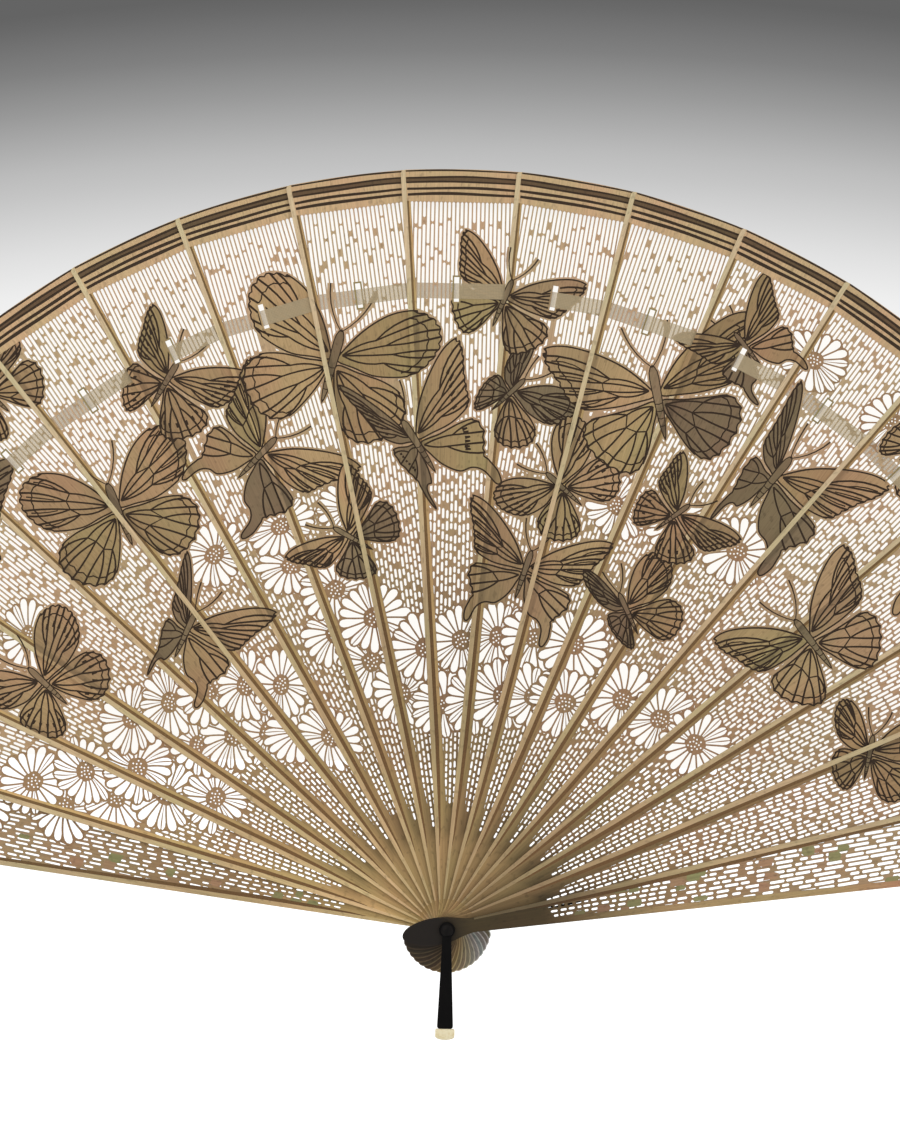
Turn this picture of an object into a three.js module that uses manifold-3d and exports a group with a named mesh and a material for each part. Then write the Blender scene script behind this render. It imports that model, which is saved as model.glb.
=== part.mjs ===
// Pierced hand fan of the kind that has rigid sticks and no leaf. Seventeen blades between two
// thicker guards turn on one rivet, and a thin ribbon, threaded through a slot in each blade,
// ties them near the top. A tapered pendant swings on the front end of the rivet.
// Millimetres, +Z up. The open fan stands in the XZ plane with its front to -Y. The origin is
// on the rivet's axis, halfway through the stack.

import * as THREE from 'three';
import { mergeVertices } from 'three/addons/utils/BufferGeometryUtils.js';
import Module from 'manifold-3d';

const wasm = await Module();
wasm.setup();

const radians = THREE.MathUtils.degToRad;

// Driving counts and angles: the guards' axes are the open angle apart, and a spread is the
// angle between a stick's axis and its edge.
const stickCount = 19;
const openAngle = radians(158);
const bladeSpread = radians(4.2);
const guardSpread = radians(3.7);

// Driving dimensions of the sticks: reach is from the rivet to the tip.
const stickReach = 240;
const bladeRootHalf = 2.1;
const guardRootHalf = 1.65;
const tipCrown = 0.6;
const tipCornerRound = 1.4;
const bladeHeadThick = 0.7;
const bladeTipThick = 0.45;
const guardThick = 2;
const layerPitch = 0.9;
const guardGap = 0.35;

// The rounded head round the rivet, and the waist where it runs into the straight edges.
const headReach = 14.2;
const headLong = 10.4;
const headHalf = 4.3;
const waistLow = 2;
const waistHigh = 9;

// The rivet and its washers.
const shaftRadius = 1.2;
const runningClearance = 0.08;
const rivetHeadRadius = 2;
const rivetHeadHeight = 0.9;
const washerRadius = 2.4;
const washerThick = 0.4;
const facePlay = 0.05;

// The pendant: an eye on the rivet, a bar that widens downwards and a pale tip on its tenon.
const eyeRadius = 2.53;
const pendantThick = 1.6;
const pendantReach = 31;
const pendantTopHalf = 1.45;
const pendantLowHalf = 2.55;
const tenonHalf = 1.6;
const tenonLength = 2;
const tenonThick = 1;
const tenonSunk = 0.5;
const tipLength = 3.5;
const tipFoot = 1.1;
const tipHalf = 3.05;
const tipThick = 2.2;
const seatClearance = 0.05;
const cutOverrun = 0.2;

// The ribbon, and the slot that it passes through in every blade.
const ribbonBelowTip = 38.5;
const ribbonWidth = 4.9;
const ribbonThick = 0.08;
const ribbonLift = 0.06;
const ribbonInset = 0.5;
const ribbonBackLap = 2.6;
const ribbonEndLap = 6;
const slotShift = 1.2;
const slotWidth = 1.6;
const slotLength = 7.8;
const slotRise = 0.5;
const slotFrame = 1;
const crossingInset = 0.3;

// The pierced work: slits along each stick, broken by ties, round solid butterflies and
// daisies with open petals.
const gorgeReach = 31;
const bandHeight = 10.3;
const sideBorder = 2;
const slitPitch = 3.6;
const slitWidth = 2.2;
const slitLongest = 50;
const slitShortest = 28;
const slitLeast = 8;
const tieLength = 1.8;
const motifRim = 0.6;
const walkStep = 0.5;

// Fineness of the round stretches, in sides.
const headSides = 14;
const waistSides = 3;
const crownSides = 4;
const cornerSides = 2;
const boreSides = 14;
const turnedSides = 16;
const domeSides = 3;
const petalCount = 8;

// Butterflies, placed by hand: bearing as a share of the half opening, reach and span as
// shares of the stick's reach, the turn of the body from the radius in degrees, and how wide
// the left wings look, as a share of the right ones.
const butterflyShares = [
  { bearing: -0.87, reach: 0.88, span: 0.21, turn: 7, fold: 0.6 },
  { bearing: -0.69, reach: 0.85, span: 0.24, turn: 44, fold: 0.9 },
  { bearing: -0.76, reach: 0.62, span: 0.2, turn: 12, fold: 0.8 },
  { bearing: -0.53, reach: 0.93, span: 0.19, turn: -8, fold: 0.8 },
  { bearing: -0.54, reach: 0.52, span: 0.19, turn: 66, fold: 0.45 },
  { bearing: -0.5, reach: 0.7, span: 0.25, turn: 16, fold: 1 },
  { bearing: -0.36, reach: 0.81, span: 0.2, turn: 58, fold: 0.7 },
  { bearing: -0.29, reach: 0.67, span: 0.21, turn: 65, fold: 0.9 },
  { bearing: -0.16, reach: 0.76, span: 0.28, turn: 27, fold: 1 },
  { bearing: -0.19, reach: 0.53, span: 0.17, turn: -47, fold: 0.8 },
  { bearing: -0.06, reach: 0.64, span: 0.23, turn: -29, fold: 0.4 },
  { bearing: 0.07, reach: 0.71, span: 0.17, turn: 40, fold: 0.5 },
  { bearing: 0.05, reach: 0.83, span: 0.19, turn: 18, fold: 0.9 },
  { bearing: 0.14, reach: 0.48, span: 0.19, turn: 7, fold: 1 },
  { bearing: 0.17, reach: 0.6, span: 0.18, turn: -62, fold: 0.9 },
  { bearing: 0.26, reach: 0.75, span: 0.28, turn: -32, fold: 1 },
  { bearing: 0.33, reach: 0.86, span: 0.16, turn: -66, fold: 0.8 },
  { bearing: 0.36, reach: 0.48, span: 0.17, turn: -54, fold: 0.45 },
  { bearing: 0.35, reach: 0.62, span: 0.16, turn: 25, fold: 0.8 },
  { bearing: 0.44, reach: 0.73, span: 0.24, turn: 4, fold: 0.45 },
  { bearing: 0.55, reach: 0.89, span: 0.18, turn: 17, fold: 0.6 },
  { bearing: 0.64, reach: 0.61, span: 0.23, turn: -89, fold: 0.9 },
  { bearing: 0.69, reach: 0.85, span: 0.25, turn: -27, fold: 1 },
  { bearing: 0.84, reach: 0.6, span: 0.17, turn: -56, fold: 0.7 },
  { bearing: 0.88, reach: 0.86, span: 0.2, turn: -10, fold: 0.7 },
];

// Wings of one side, as shares of the span: centre, half length, half width and tilt.
const wingShares = [
  { across: 0.26, up: 0.13, long: 0.25, wide: 0.13, tilt: 34 },
  { across: 0.16, up: -0.14, long: 0.19, wide: 0.12, tilt: -48 },
];

// Drifts of daisies, each from one place to another in one or two rows, in the same shares.
// One daisy in every few is pierced in the solid.
const daisyDriftShares = [
  { from: { bearing: -0.96, reach: 0.64 }, to: { bearing: -0.76, reach: 0.4 }, count: 4, rows: 2 },
  { from: { bearing: -0.73, reach: 0.5 }, to: { bearing: -0.38, reach: 0.36 }, count: 5, rows: 2 },
  { from: { bearing: -0.31, reach: 0.52 }, to: { bearing: -0.12, reach: 0.37 }, count: 3, rows: 2 },
  { from: { bearing: -0.07, reach: 0.37 }, to: { bearing: 0.38, reach: 0.42 }, count: 5, rows: 2 },
  { from: { bearing: 0.46, reach: 0.38 }, to: { bearing: 0.76, reach: 0.42 }, count: 3, rows: 1 },
  { from: { bearing: 0.4, reach: 0.89 }, to: { bearing: 0.84, reach: 0.88 }, count: 4, rows: 1 },
  { from: { bearing: -0.98, reach: 0.82 }, to: { bearing: -0.66, reach: 0.74 }, count: 3, rows: 2 },
  { from: { bearing: -0.42, reach: 0.58 }, to: { bearing: -0.06, reach: 0.56 }, count: 3, rows: 1 },
  { from: { bearing: 0.26, reach: 0.6 }, to: { bearing: 0.56, reach: 0.64 }, count: 3, rows: 1 },
];
const daisySizeShare = 0.1;
const daisyRowShare = 0.08;
const daisyStep = 2;

// Petals of a daisy, as shares of its radius.
const petalInnerShare = 0.3;
const petalWaistShare = 0.72;
const petalOuterShare = 0.98;
const petalHalfShare = 0.2;

// What follows from the driving values.
const stickPitch = openAngle / (stickCount - 1);
const lastStick = stickCount - 1;
const bladeStackHalf = ((stickCount - 3) * layerPitch + bladeHeadThick) / 2;
const guardLayer = bladeStackHalf + guardGap + guardThick / 2;
const guardFace = guardLayer + guardThick / 2;
const boreRadius = (shaftRadius + runningClearance) / Math.cos(Math.PI / boreSides);
const latticeHigh = stickReach - bandHeight;
const ribbonReach = stickReach - ribbonBelowTip;
const slotReach = ribbonReach + slotRise;

const bladeSizes = { rootHalf: bladeRootHalf, slope: Math.tan(bladeSpread) };
const guardSizes = { rootHalf: guardRootHalf, slope: Math.tan(guardSpread) };

const hornMaterial = new THREE.MeshStandardMaterial({ color: '#b09668', roughness: 0.45, metalness: 0 });
const guardMaterial = new THREE.MeshStandardMaterial({ color: '#8a6f48', roughness: 0.45, metalness: 0 });
const silkMaterial = new THREE.MeshStandardMaterial({ color: '#bebea5', roughness: 0.7, metalness: 0 });
const rivetMaterial = new THREE.MeshStandardMaterial({ color: '#1c1a18', roughness: 0.35, metalness: 0.8 });
const pendantMaterial = new THREE.MeshStandardMaterial({ color: '#0c0a0a', roughness: 0.3, metalness: 0 });
const tipMaterial = new THREE.MeshStandardMaterial({ color: '#ebd7b4', roughness: 0.5, metalness: 0 });

// A repeatable stream of numbers from 0 to 1, so that the ties fall at the same places each time.
function numberStream(seed) {
  let state = seed;
  return () => {
    state = (state * 1664525 + 1013904223) % 4294967296;
    return state / 4294967296;
  };
}

// The half width of a stick at a given reach.
function halfWidth(sizes, reach) {
  return sizes.rootHalf + reach * sizes.slope;
}

// Points on a quadratic curve between two points, without its first one.
function bend(from, control, to, sides) {
  const curve = new THREE.QuadraticBezierCurve(from, control, to);
  return curve.getPoints(sides).slice(1);
}

// The outline of a stick on one side, from the foot of its head up to the middle of its tip.
function sideOutline(sizes) {
  const low = Math.asin((waistLow + headReach - headLong) / headLong);
  const points = [];
  for (let side = 0; side <= headSides / 2; side += 1) {
    const angle = THREE.MathUtils.lerp(-Math.PI / 2, low, side / (headSides / 2));
    const up = headLong - headReach + headLong * Math.sin(angle);
    points.push(new THREE.Vector2(headHalf * Math.cos(angle), up));
  }
  const neck = points[points.length - 1];
  const lean = -headHalf * Math.sin(low) / (headLong * Math.cos(low));
  const rise = (neck.x - halfWidth(sizes, neck.y)) / (sizes.slope - lean);
  const control = new THREE.Vector2(neck.x + lean * rise, neck.y + rise);
  const shoulder = new THREE.Vector2(halfWidth(sizes, waistHigh), waistHigh);
  points.push(...bend(neck, control, shoulder, waistSides));
  const cornerReach = stickReach - tipCrown;
  const corner = new THREE.Vector2(halfWidth(sizes, cornerReach), cornerReach);
  const belowReach = cornerReach - tipCornerRound;
  const below = new THREE.Vector2(halfWidth(sizes, belowReach), belowReach);
  const inside = corner.x - tipCornerRound;
  const crownAt = (across) => stickReach - tipCrown * (across / corner.x) ** 2;
  const beside = new THREE.Vector2(inside, crownAt(inside));
  points.push(below, ...bend(below, corner, beside, cornerSides));
  for (let side = 1; side < crownSides / 2; side += 1) {
    const across = inside * (1 - side / (crownSides / 2));
    points.push(new THREE.Vector2(across, crownAt(across)));
  }
  return points;
}

// The whole outline: one side, the middle of the tip, and the other side back down.
function stickShape(sizes) {
  const right = sideOutline(sizes);
  const left = right.slice(1).reverse().map((point) => new THREE.Vector2(-point.x, point.y));
  const top = new THREE.Vector2(0, stickReach);
  return new THREE.Shape([...right, top, ...left]);
}

function ringPath(radius, sides) {
  const points = [];
  for (let side = 0; side < sides; side += 1) {
    const angle = (2 * Math.PI * side) / sides;
    points.push(new THREE.Vector2(radius * Math.cos(angle), radius * Math.sin(angle)));
  }
  return new THREE.Path(points);
}

function boxPath(low, high) {
  return new THREE.Path([
    new THREE.Vector2(low.x, low.y),
    new THREE.Vector2(high.x, low.y),
    new THREE.Vector2(high.x, high.y),
    new THREE.Vector2(low.x, high.y),
  ]);
}

// A motif's centre and turn as one stick sees it, when the stick lies at its own bearing.
function seenFrom(motif, stickBearing) {
  const bearing = motif.bearing * openAngle / 2 - stickBearing;
  const reach = motif.reach * stickReach;
  return { ...motif, x: reach * Math.sin(bearing), y: reach * Math.cos(bearing), bearing };
}

function insideWing(wing, across, up, rim) {
  const tilt = radians(wing.tilt);
  const dx = across - wing.across;
  const dy = up - wing.up;
  const along = (dx * Math.cos(tilt) + dy * Math.sin(tilt)) / (wing.long + rim);
  const over = (dy * Math.cos(tilt) - dx * Math.sin(tilt)) / (wing.wide + rim);
  return along * along + over * over < 1;
}

// Whether a point of the stick falls on a butterfly, grown by its rim.
function onButterfly(motif, x, y) {
  const span = motif.span * stickReach;
  const turn = radians(motif.turn) + motif.bearing;
  const dx = (x - motif.x) / span;
  const dy = (y - motif.y) / span;
  const side = dx * Math.cos(turn) - dy * Math.sin(turn);
  const across = side < 0 ? -side / motif.fold : side;
  const up = dx * Math.sin(turn) + dy * Math.cos(turn);
  return wingShares.some((wing) => insideWing(wing, across, up, motifRim / span));
}

function onDaisy(motif, x, y) {
  return Math.hypot(x - motif.x, y - motif.y) < daisySizeShare * stickReach / 2 + motifRim;
}

// The daisies of all drifts, the second row of a drift nearer the rivet and half a step on.
function daisies() {
  const all = daisyDriftShares.flatMap(({ from, to, count, rows }) => {
    const drift = [];
    for (let index = 0; index < count; index += 1) {
      for (let row = 0; row < rows; row += 1) {
        const along = (index + row / 2) / count;
        drift.push({
          bearing: THREE.MathUtils.lerp(from.bearing, to.bearing, along),
          reach: THREE.MathUtils.lerp(from.reach, to.reach, along) - row * daisyRowShare,
        });
      }
    }
    return drift;
  });
  return all.filter((daisy, index) => index % daisyStep === 0);
}

// Whether a point with some width either side lies in the part of the stick that is pierced.
function inLattice(sizes, x, y, half) {
  const inHeight = y > gorgeReach && y < latticeHigh;
  return inHeight && Math.abs(x) + half < halfWidth(sizes, y) - sideBorder;
}

function nearSlot(x, y, half) {
  const wide = slotWidth / 2 + slotFrame + half;
  const tall = slotLength / 2 + slotFrame;
  return Math.abs(x + slotShift) < wide && Math.abs(y - slotReach) < tall;
}

// One open run along a column, cut into slits by ties at uneven distances.
function cutRun(from, to, nextNumber) {
  const slits = [];
  let low = from;
  while (to - low > slitLeast) {
    let high = low + THREE.MathUtils.lerp(slitShortest, slitLongest, nextNumber());
    if (to - high < slitLeast + tieLength) {
      high = to;
    }
    slits.push([low, high]);
    low = high + tieLength;
  }
  return slits;
}

// The slits of a stick, column by column, wherever no motif, slot or border is.
function slitPaths(sizes, blocked, seed) {
  const nextNumber = numberStream(seed);
  const paths = [];
  const half = slitWidth / 2;
  const columns = Math.floor(halfWidth(sizes, latticeHigh) / slitPitch);
  for (let column = -columns; column <= columns; column += 1) {
    const x = column * slitPitch;
    const open = (y) => inLattice(sizes, x, y, half) && !blocked(x - half, y)
      && !blocked(x, y) && !blocked(x + half, y);
    let start = null;
    const firstStep = gorgeReach + walkStep * nextNumber();
    for (let y = firstStep; y < latticeHigh + 2 * walkStep; y += walkStep) {
      if (open(y) && start === null) {
        start = y;
      }
      if (!open(y) && start !== null) {
        for (const [low, high] of cutRun(start, y - walkStep, nextNumber)) {
          paths.push(boxPath(new THREE.Vector2(x - half, low), new THREE.Vector2(x + half, high)));
        }
        start = null;
      }
    }
  }
  return paths;
}

// The open petals of a daisy, each a kite, where they fall whole inside the pierced part.
function petalPaths(sizes, daisy, blocked) {
  const radius = daisySizeShare * stickReach / 2;
  const paths = [];
  for (let petal = 0; petal < petalCount; petal += 1) {
    const angle = (2 * Math.PI * (petal + 0.5)) / petalCount;
    const place = (out, side) => new THREE.Vector2(
      daisy.x + radius * (out * Math.sin(angle) + side * Math.cos(angle)),
      daisy.y + radius * (out * Math.cos(angle) - side * Math.sin(angle)),
    );
    const corners = [
      place(petalInnerShare, 0),
      place(petalWaistShare, petalHalfShare),
      place(petalOuterShare, 0),
      place(petalWaistShare, -petalHalfShare),
    ];
    const middles = corners.map((point, index) => point.clone().lerp(corners[(index + 1) % 4], 0.5));
    const clear = (point) => inLattice(sizes, point.x, point.y, 0) && !blocked(point.x, point.y);
    if (corners.every(clear) && middles.every(clear)) {
      paths.push(new THREE.Path(corners));
    }
  }
  return paths;
}

// Every opening in a stick: its bore, its ribbon slot if it has one, slits and petals.
function stickHoles(sizes, bearing, seed, slotted) {
  const butterflies = butterflyShares.map((motif) => seenFrom(motif, bearing));
  const pierced = daisies().map((motif) => seenFrom(motif, bearing));
  const onSolid = (x, y) => (slotted && nearSlot(x, y, 0))
    || butterflies.some((motif) => onButterfly(motif, x, y));
  const blocked = (x, y) => onSolid(x, y) || pierced.some((motif) => onDaisy(motif, x, y));
  const holes = [ringPath(boreRadius, boreSides), ...slitPaths(sizes, blocked, seed)];
  pierced.forEach((daisy, index) => {
    const above = pierced.slice(index + 1);
    const hidden = (x, y) => onSolid(x, y) || above.some((motif) => onDaisy(motif, x, y));
    holes.push(...petalPaths(sizes, daisy, hidden));
  });
  if (slotted) {
    const low = new THREE.Vector2(-slotShift - slotWidth / 2, slotReach - slotLength / 2);
    const high = new THREE.Vector2(-slotShift + slotWidth / 2, slotReach + slotLength / 2);
    holes.push(boxPath(low, high));
  }
  return holes;
}

// A flat outline stood up in the XZ plane, its thickness centred on the plane.
function standUp(shape, thick) {
  const geometry = new THREE.ExtrudeGeometry(shape, { depth: thick, bevelEnabled: false });
  geometry.translate(0, 0, -thick / 2);
  geometry.rotateX(Math.PI / 2);
  return geometry;
}

// Thins a stick evenly from its head to its tip.
function thinTowardsTip(geometry, headThick, tipThin) {
  const position = geometry.getAttribute('position');
  for (let index = 0; index < position.count; index += 1) {
    const along = (position.getZ(index) + headReach) / (stickReach + headReach);
    const share = THREE.MathUtils.lerp(1, tipThin / headThick, along);
    position.setY(index, position.getY(index) * share);
  }
  return geometry;
}

function bladeThickAt(reach) {
  const along = (reach + headReach) / (stickReach + headReach);
  return THREE.MathUtils.lerp(bladeHeadThick, bladeTipThick, along);
}

function blade(bearing, seed) {
  const shape = stickShape(bladeSizes);
  shape.holes.push(...stickHoles(bladeSizes, bearing, seed, true));
  return thinTowardsTip(standUp(shape, bladeHeadThick), bladeHeadThick, bladeTipThick);
}

function guard(bearing, seed) {
  const shape = stickShape(guardSizes);
  shape.holes.push(...stickHoles(guardSizes, bearing, seed, false));
  return standUp(shape, guardThick);
}

// A thin strip along the blade's width: its middle line is given as across and depth pairs.
function strip(line) {
  const half = ribbonThick / 2;
  const front = line.map(([across, depth]) => new THREE.Vector2(across, depth - half));
  const back = line.map(([across, depth]) => new THREE.Vector2(across, depth + half)).reverse();
  const geometry = new THREE.ExtrudeGeometry(new THREE.Shape([...front, ...back]), {
    depth: ribbonWidth,
    bevelEnabled: false,
  });
  return geometry.translate(0, 0, ribbonReach - ribbonWidth / 2);
}

// The ribbon of one blade: a short lap behind the slot's frame, through the slot and over the
// right half.
function bladeRibbon() {
  const face = bladeThickAt(ribbonReach - ribbonWidth / 2) / 2 + ribbonLift + ribbonThick / 2;
  const edge = halfWidth(bladeSizes, ribbonReach) - ribbonInset;
  const crossing = slotWidth / 2 - crossingInset;
  return strip([
    [-slotShift - slotWidth / 2 - ribbonBackLap, face],
    [-slotShift - crossing, face],
    [-slotShift + crossing, -face],
    [edge, -face],
  ]);
}

// The ribbon's end on a guard's inner face, from the edge next to the blades past the middle.
function guardRibbon(edgeSide, faceSide) {
  const face = faceSide * (guardThick / 2 + ribbonLift + ribbonThick / 2);
  const edge = edgeSide * (halfWidth(guardSizes, ribbonReach) - ribbonInset);
  const end = -edgeSide * ribbonEndLap;
  return strip([[Math.min(edge, end), face], [Math.max(edge, end), face]]);
}

// A solid turned about the Y axis from radius and depth pairs that run from front to back.
function turned(profile) {
  const points = profile.map(([radius, depth]) => new THREE.Vector2(radius, depth));
  return new THREE.LatheGeometry(points, turnedSides);
}

function washer(nearDepth) {
  const bore = shaftRadius + runningClearance;
  return turned([
    [bore, nearDepth],
    [washerRadius, nearDepth],
    [washerRadius, nearDepth + washerThick],
    [bore, nearDepth + washerThick],
    [bore, nearDepth],
  ]);
}

// Depths of what sits on the rivet outside the guards, all counted from the middle.
const washerNear = guardFace + facePlay;
const washerFar = washerNear + washerThick;
const eyeNear = washerFar + facePlay;
const eyeFar = eyeNear + pendantThick;
const frontHeadNear = eyeFar + facePlay;
const backHeadNear = washerFar + facePlay;
const pendantDepth = -(eyeNear + eyeFar) / 2;

// The rivet: a shaft through everything, with a domed head at each end.
function rivet() {
  const dome = (side) => {
    const angle = (Math.PI / 2) * (side / domeSides);
    return [rivetHeadRadius * Math.sin(angle), rivetHeadHeight * Math.cos(angle)];
  };
  const profile = [];
  for (let side = 0; side <= domeSides; side += 1) {
    const [radius, height] = dome(side);
    profile.push([radius, -frontHeadNear - height]);
  }
  profile.push([shaftRadius, -frontHeadNear], [shaftRadius, backHeadNear]);
  for (let side = domeSides; side >= 0; side -= 1) {
    const [radius, height] = dome(side);
    profile.push([radius, backHeadNear + height]);
  }
  return turned(profile);
}

function toManifold(geometry) {
  const bare = geometry.clone();
  bare.deleteAttribute('normal');
  bare.deleteAttribute('uv');
  const merged = mergeVertices(bare);
  const vertProperties = new Float32Array(merged.getAttribute('position').array);
  const triVerts = new Uint32Array(merged.getIndex().array);
  return new wasm.Manifold(new wasm.Mesh({ numProp: 3, vertProperties, triVerts }));
}

function fromManifold(solid) {
  const mesh = solid.getMesh();
  const geometry = new THREE.BufferGeometry();
  geometry.setAttribute('position', new THREE.BufferAttribute(mesh.vertProperties, 3));
  geometry.setIndex(new THREE.BufferAttribute(mesh.triVerts, 1));
  return geometry;
}

// The pendant's black part: the eye, the widening bar and the tenon that carries the tip.
function pendantBar() {
  const join = Math.asin(pendantTopHalf / eyeRadius);
  const points = [];
  for (let side = 0; side <= turnedSides; side += 1) {
    const angle = THREE.MathUtils.lerp(join, 2 * Math.PI - join, side / turnedSides);
    points.push(new THREE.Vector2(eyeRadius * Math.sin(angle), -eyeRadius * Math.cos(angle)));
  }
  points.push(
    new THREE.Vector2(-pendantLowHalf, -pendantReach),
    new THREE.Vector2(pendantLowHalf, -pendantReach),
  );
  const shape = new THREE.Shape(points);
  shape.holes.push(ringPath(boreRadius, boreSides));
  const tenon = new THREE.BoxGeometry(2 * tenonHalf, tenonThick, tenonLength + tenonSunk);
  tenon.translate(0, 0, -pendantReach - (tenonLength - tenonSunk) / 2);
  return fromManifold(toManifold(standUp(shape, pendantThick)).add(toManifold(tenon)));
}

// The pale tip: straight sides, a softly rounded foot and a pocket for the tenon.
function pendantTip() {
  const top = -pendantReach - seatClearance;
  const points = [new THREE.Vector2(tipHalf, top), new THREE.Vector2(-tipHalf, top)];
  for (let side = 0; side <= headSides; side += 1) {
    const angle = Math.PI * (1 - side / headSides);
    const down = tipLength - tipFoot * (1 - Math.sin(angle));
    points.push(new THREE.Vector2(tipHalf * Math.cos(angle), top - down));
  }
  const solid = toManifold(standUp(new THREE.Shape(points), tipThick));
  const pocketDeep = tenonLength + cutOverrun;
  const pocket = new THREE.BoxGeometry(
    2 * (tenonHalf + seatClearance),
    tenonThick + 2 * seatClearance,
    pocketDeep + cutOverrun,
  );
  pocket.translate(0, 0, top - (pocketDeep - cutOverrun) / 2);
  return fromManifold(solid.subtract(toManifold(pocket)));
}

function named(name, geometry, material) {
  const mesh = new THREE.Mesh(geometry, material);
  mesh.name = name;
  return mesh;
}

function twoDigits(number) {
  return String(number).padStart(2, '0');
}

// One stick's group at its bearing and layer. Stick 0 is the front guard, at the right.
function stickGroup(index) {
  const group = new THREE.Group();
  const bearing = openAngle / 2 - index * stickPitch;
  group.rotation.y = bearing;
  if (index === 0) {
    group.position.y = -guardLayer;
    group.add(named('guard_front', guard(bearing, index + 1), guardMaterial.clone()));
    group.add(named('ribbon_end_front', guardRibbon(-1, 1), silkMaterial.clone()));
  } else if (index === lastStick) {
    group.position.y = guardLayer;
    group.add(named('guard_back', guard(bearing, index + 1), guardMaterial.clone()));
    group.add(named('ribbon_end_back', guardRibbon(1, -1), silkMaterial.clone()));
  } else {
    group.position.y = (index - lastStick / 2) * layerPitch;
    group.add(named(`blade_${twoDigits(index)}`, blade(bearing, index + 1), hornMaterial.clone()));
    group.add(named(`ribbon_${twoDigits(index)}`, bladeRibbon(), silkMaterial.clone()));
  }
  return group;
}

const fan = new THREE.Group();
for (let index = 0; index < stickCount; index += 1) {
  fan.add(stickGroup(index));
}

fan.add(named('rivet', rivet(), rivetMaterial));
fan.add(named('washer_front', washer(-washerFar), rivetMaterial.clone()));
fan.add(named('washer_back', washer(washerNear), rivetMaterial.clone()));

const pendant = new THREE.Group();
pendant.position.y = pendantDepth;
pendant.add(named('pendant_bar', pendantBar(), pendantMaterial));
pendant.add(named('pendant_tip', pendantTip(), tipMaterial));
fan.add(pendant);

export default fan;
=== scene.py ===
"""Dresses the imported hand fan: horn sticks pierced and engraved, silk ribbon, rivet and pendant.

Every stick is drawn flat in its own millimetres, u across it and v from the rivet to its tip,
cut into triangles, given its thickness and stood up at its own bearing and layer.
"""
import logging
import math
import random
from dataclasses import dataclass, field
from enum import Enum
from typing import Callable, Iterator

import bmesh
import bpy
import numpy as np
from mathutils import Matrix, Vector
from mathutils.geometry import delaunay_2d_cdt


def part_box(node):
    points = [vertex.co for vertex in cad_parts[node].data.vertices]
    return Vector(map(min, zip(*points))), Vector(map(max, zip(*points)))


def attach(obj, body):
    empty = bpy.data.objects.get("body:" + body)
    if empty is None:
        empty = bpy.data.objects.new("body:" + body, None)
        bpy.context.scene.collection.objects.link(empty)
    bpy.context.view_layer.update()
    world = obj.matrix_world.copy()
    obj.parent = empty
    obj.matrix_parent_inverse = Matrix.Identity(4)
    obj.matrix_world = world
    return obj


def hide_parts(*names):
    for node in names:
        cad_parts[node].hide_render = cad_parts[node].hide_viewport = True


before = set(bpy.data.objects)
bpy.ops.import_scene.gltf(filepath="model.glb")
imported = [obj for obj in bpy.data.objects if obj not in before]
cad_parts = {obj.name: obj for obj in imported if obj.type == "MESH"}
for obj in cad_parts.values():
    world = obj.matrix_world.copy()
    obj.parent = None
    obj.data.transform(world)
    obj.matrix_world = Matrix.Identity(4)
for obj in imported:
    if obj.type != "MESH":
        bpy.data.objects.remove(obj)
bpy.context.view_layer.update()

log = logging.getLogger("fan")

Point = tuple[float, float]
Ring = list[Point]
Colour = tuple[float, float, float, float]

# A millimetre in metres, the number of sticks, the angle between the guards' axes in degrees and
# the distance from the rivet to the tips in millimetres.
MM = 0.001
STICKS = 19
OPENING = 158.0
REACH = 240.0


def linear(hex_colour: str) -> Colour:
    """Turns an sRGB hex colour into linear values.

    Args:
        hex_colour: the colour as #rrggbb.

    Returns:
        Red, green, blue and an alpha of 1, linear.
    """
    parts = [int(hex_colour[at:at + 2], 16) / 255 for at in (1, 3, 5)]
    red, green, blue = (p / 12.92 if p <= 0.04045 else ((p + 0.055) / 1.055) ** 2.4 for p in parts)
    return red, green, blue, 1.0


def between(low: float, high: float, share: float) -> float:
    """The value at a share of the way from low to high."""
    return low + (high - low) * share


def eased(values: np.ndarray, start: float, end: float) -> np.ndarray:
    """0 up to the start and 1 from the end on, for each value, as a column."""
    return ((values - start) / (end - start)).clip(0, 1)[:, None]


def round_of(sides: int, radius: float, x: float = 0.0, y: float = 0.0) -> Ring:
    """The corners of a small circle about a centre."""
    return [(x + radius * math.cos(angle), y + radius * math.sin(angle))
            for angle in np.linspace(0, 2 * math.pi, sides + 1)[:-1]]


def bearing_of(stick: int) -> float:
    """The bearing of a stick in radians, clockwise from straight up."""
    return math.radians(OPENING / 2 - stick * OPENING / (STICKS - 1))


def area_of(ring: Ring) -> float:
    """The signed area of a ring, above zero where it runs anticlockwise."""
    x, y = np.array(ring).T
    return float(np.dot(x, np.roll(y, -1)) - np.dot(y, np.roll(x, -1))) / 2


def inside(ring: Ring, points: np.ndarray) -> np.ndarray:
    """Tests points against a ring.

    Args:
        ring: a closed outline.
        points: an array of points, one in each row.

    Returns:
        One truth value for each point.
    """
    found = np.zeros(len(points), bool)
    x, y = points.T
    for (ax, ay), (bx, by) in zip(ring, ring[1:] + ring[:1]):
        if ay != by:
            found ^= ((ay > y) != (by > y)) & (x < (bx - ax) * (y - ay) / (by - ay) + ax)
    return found


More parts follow.
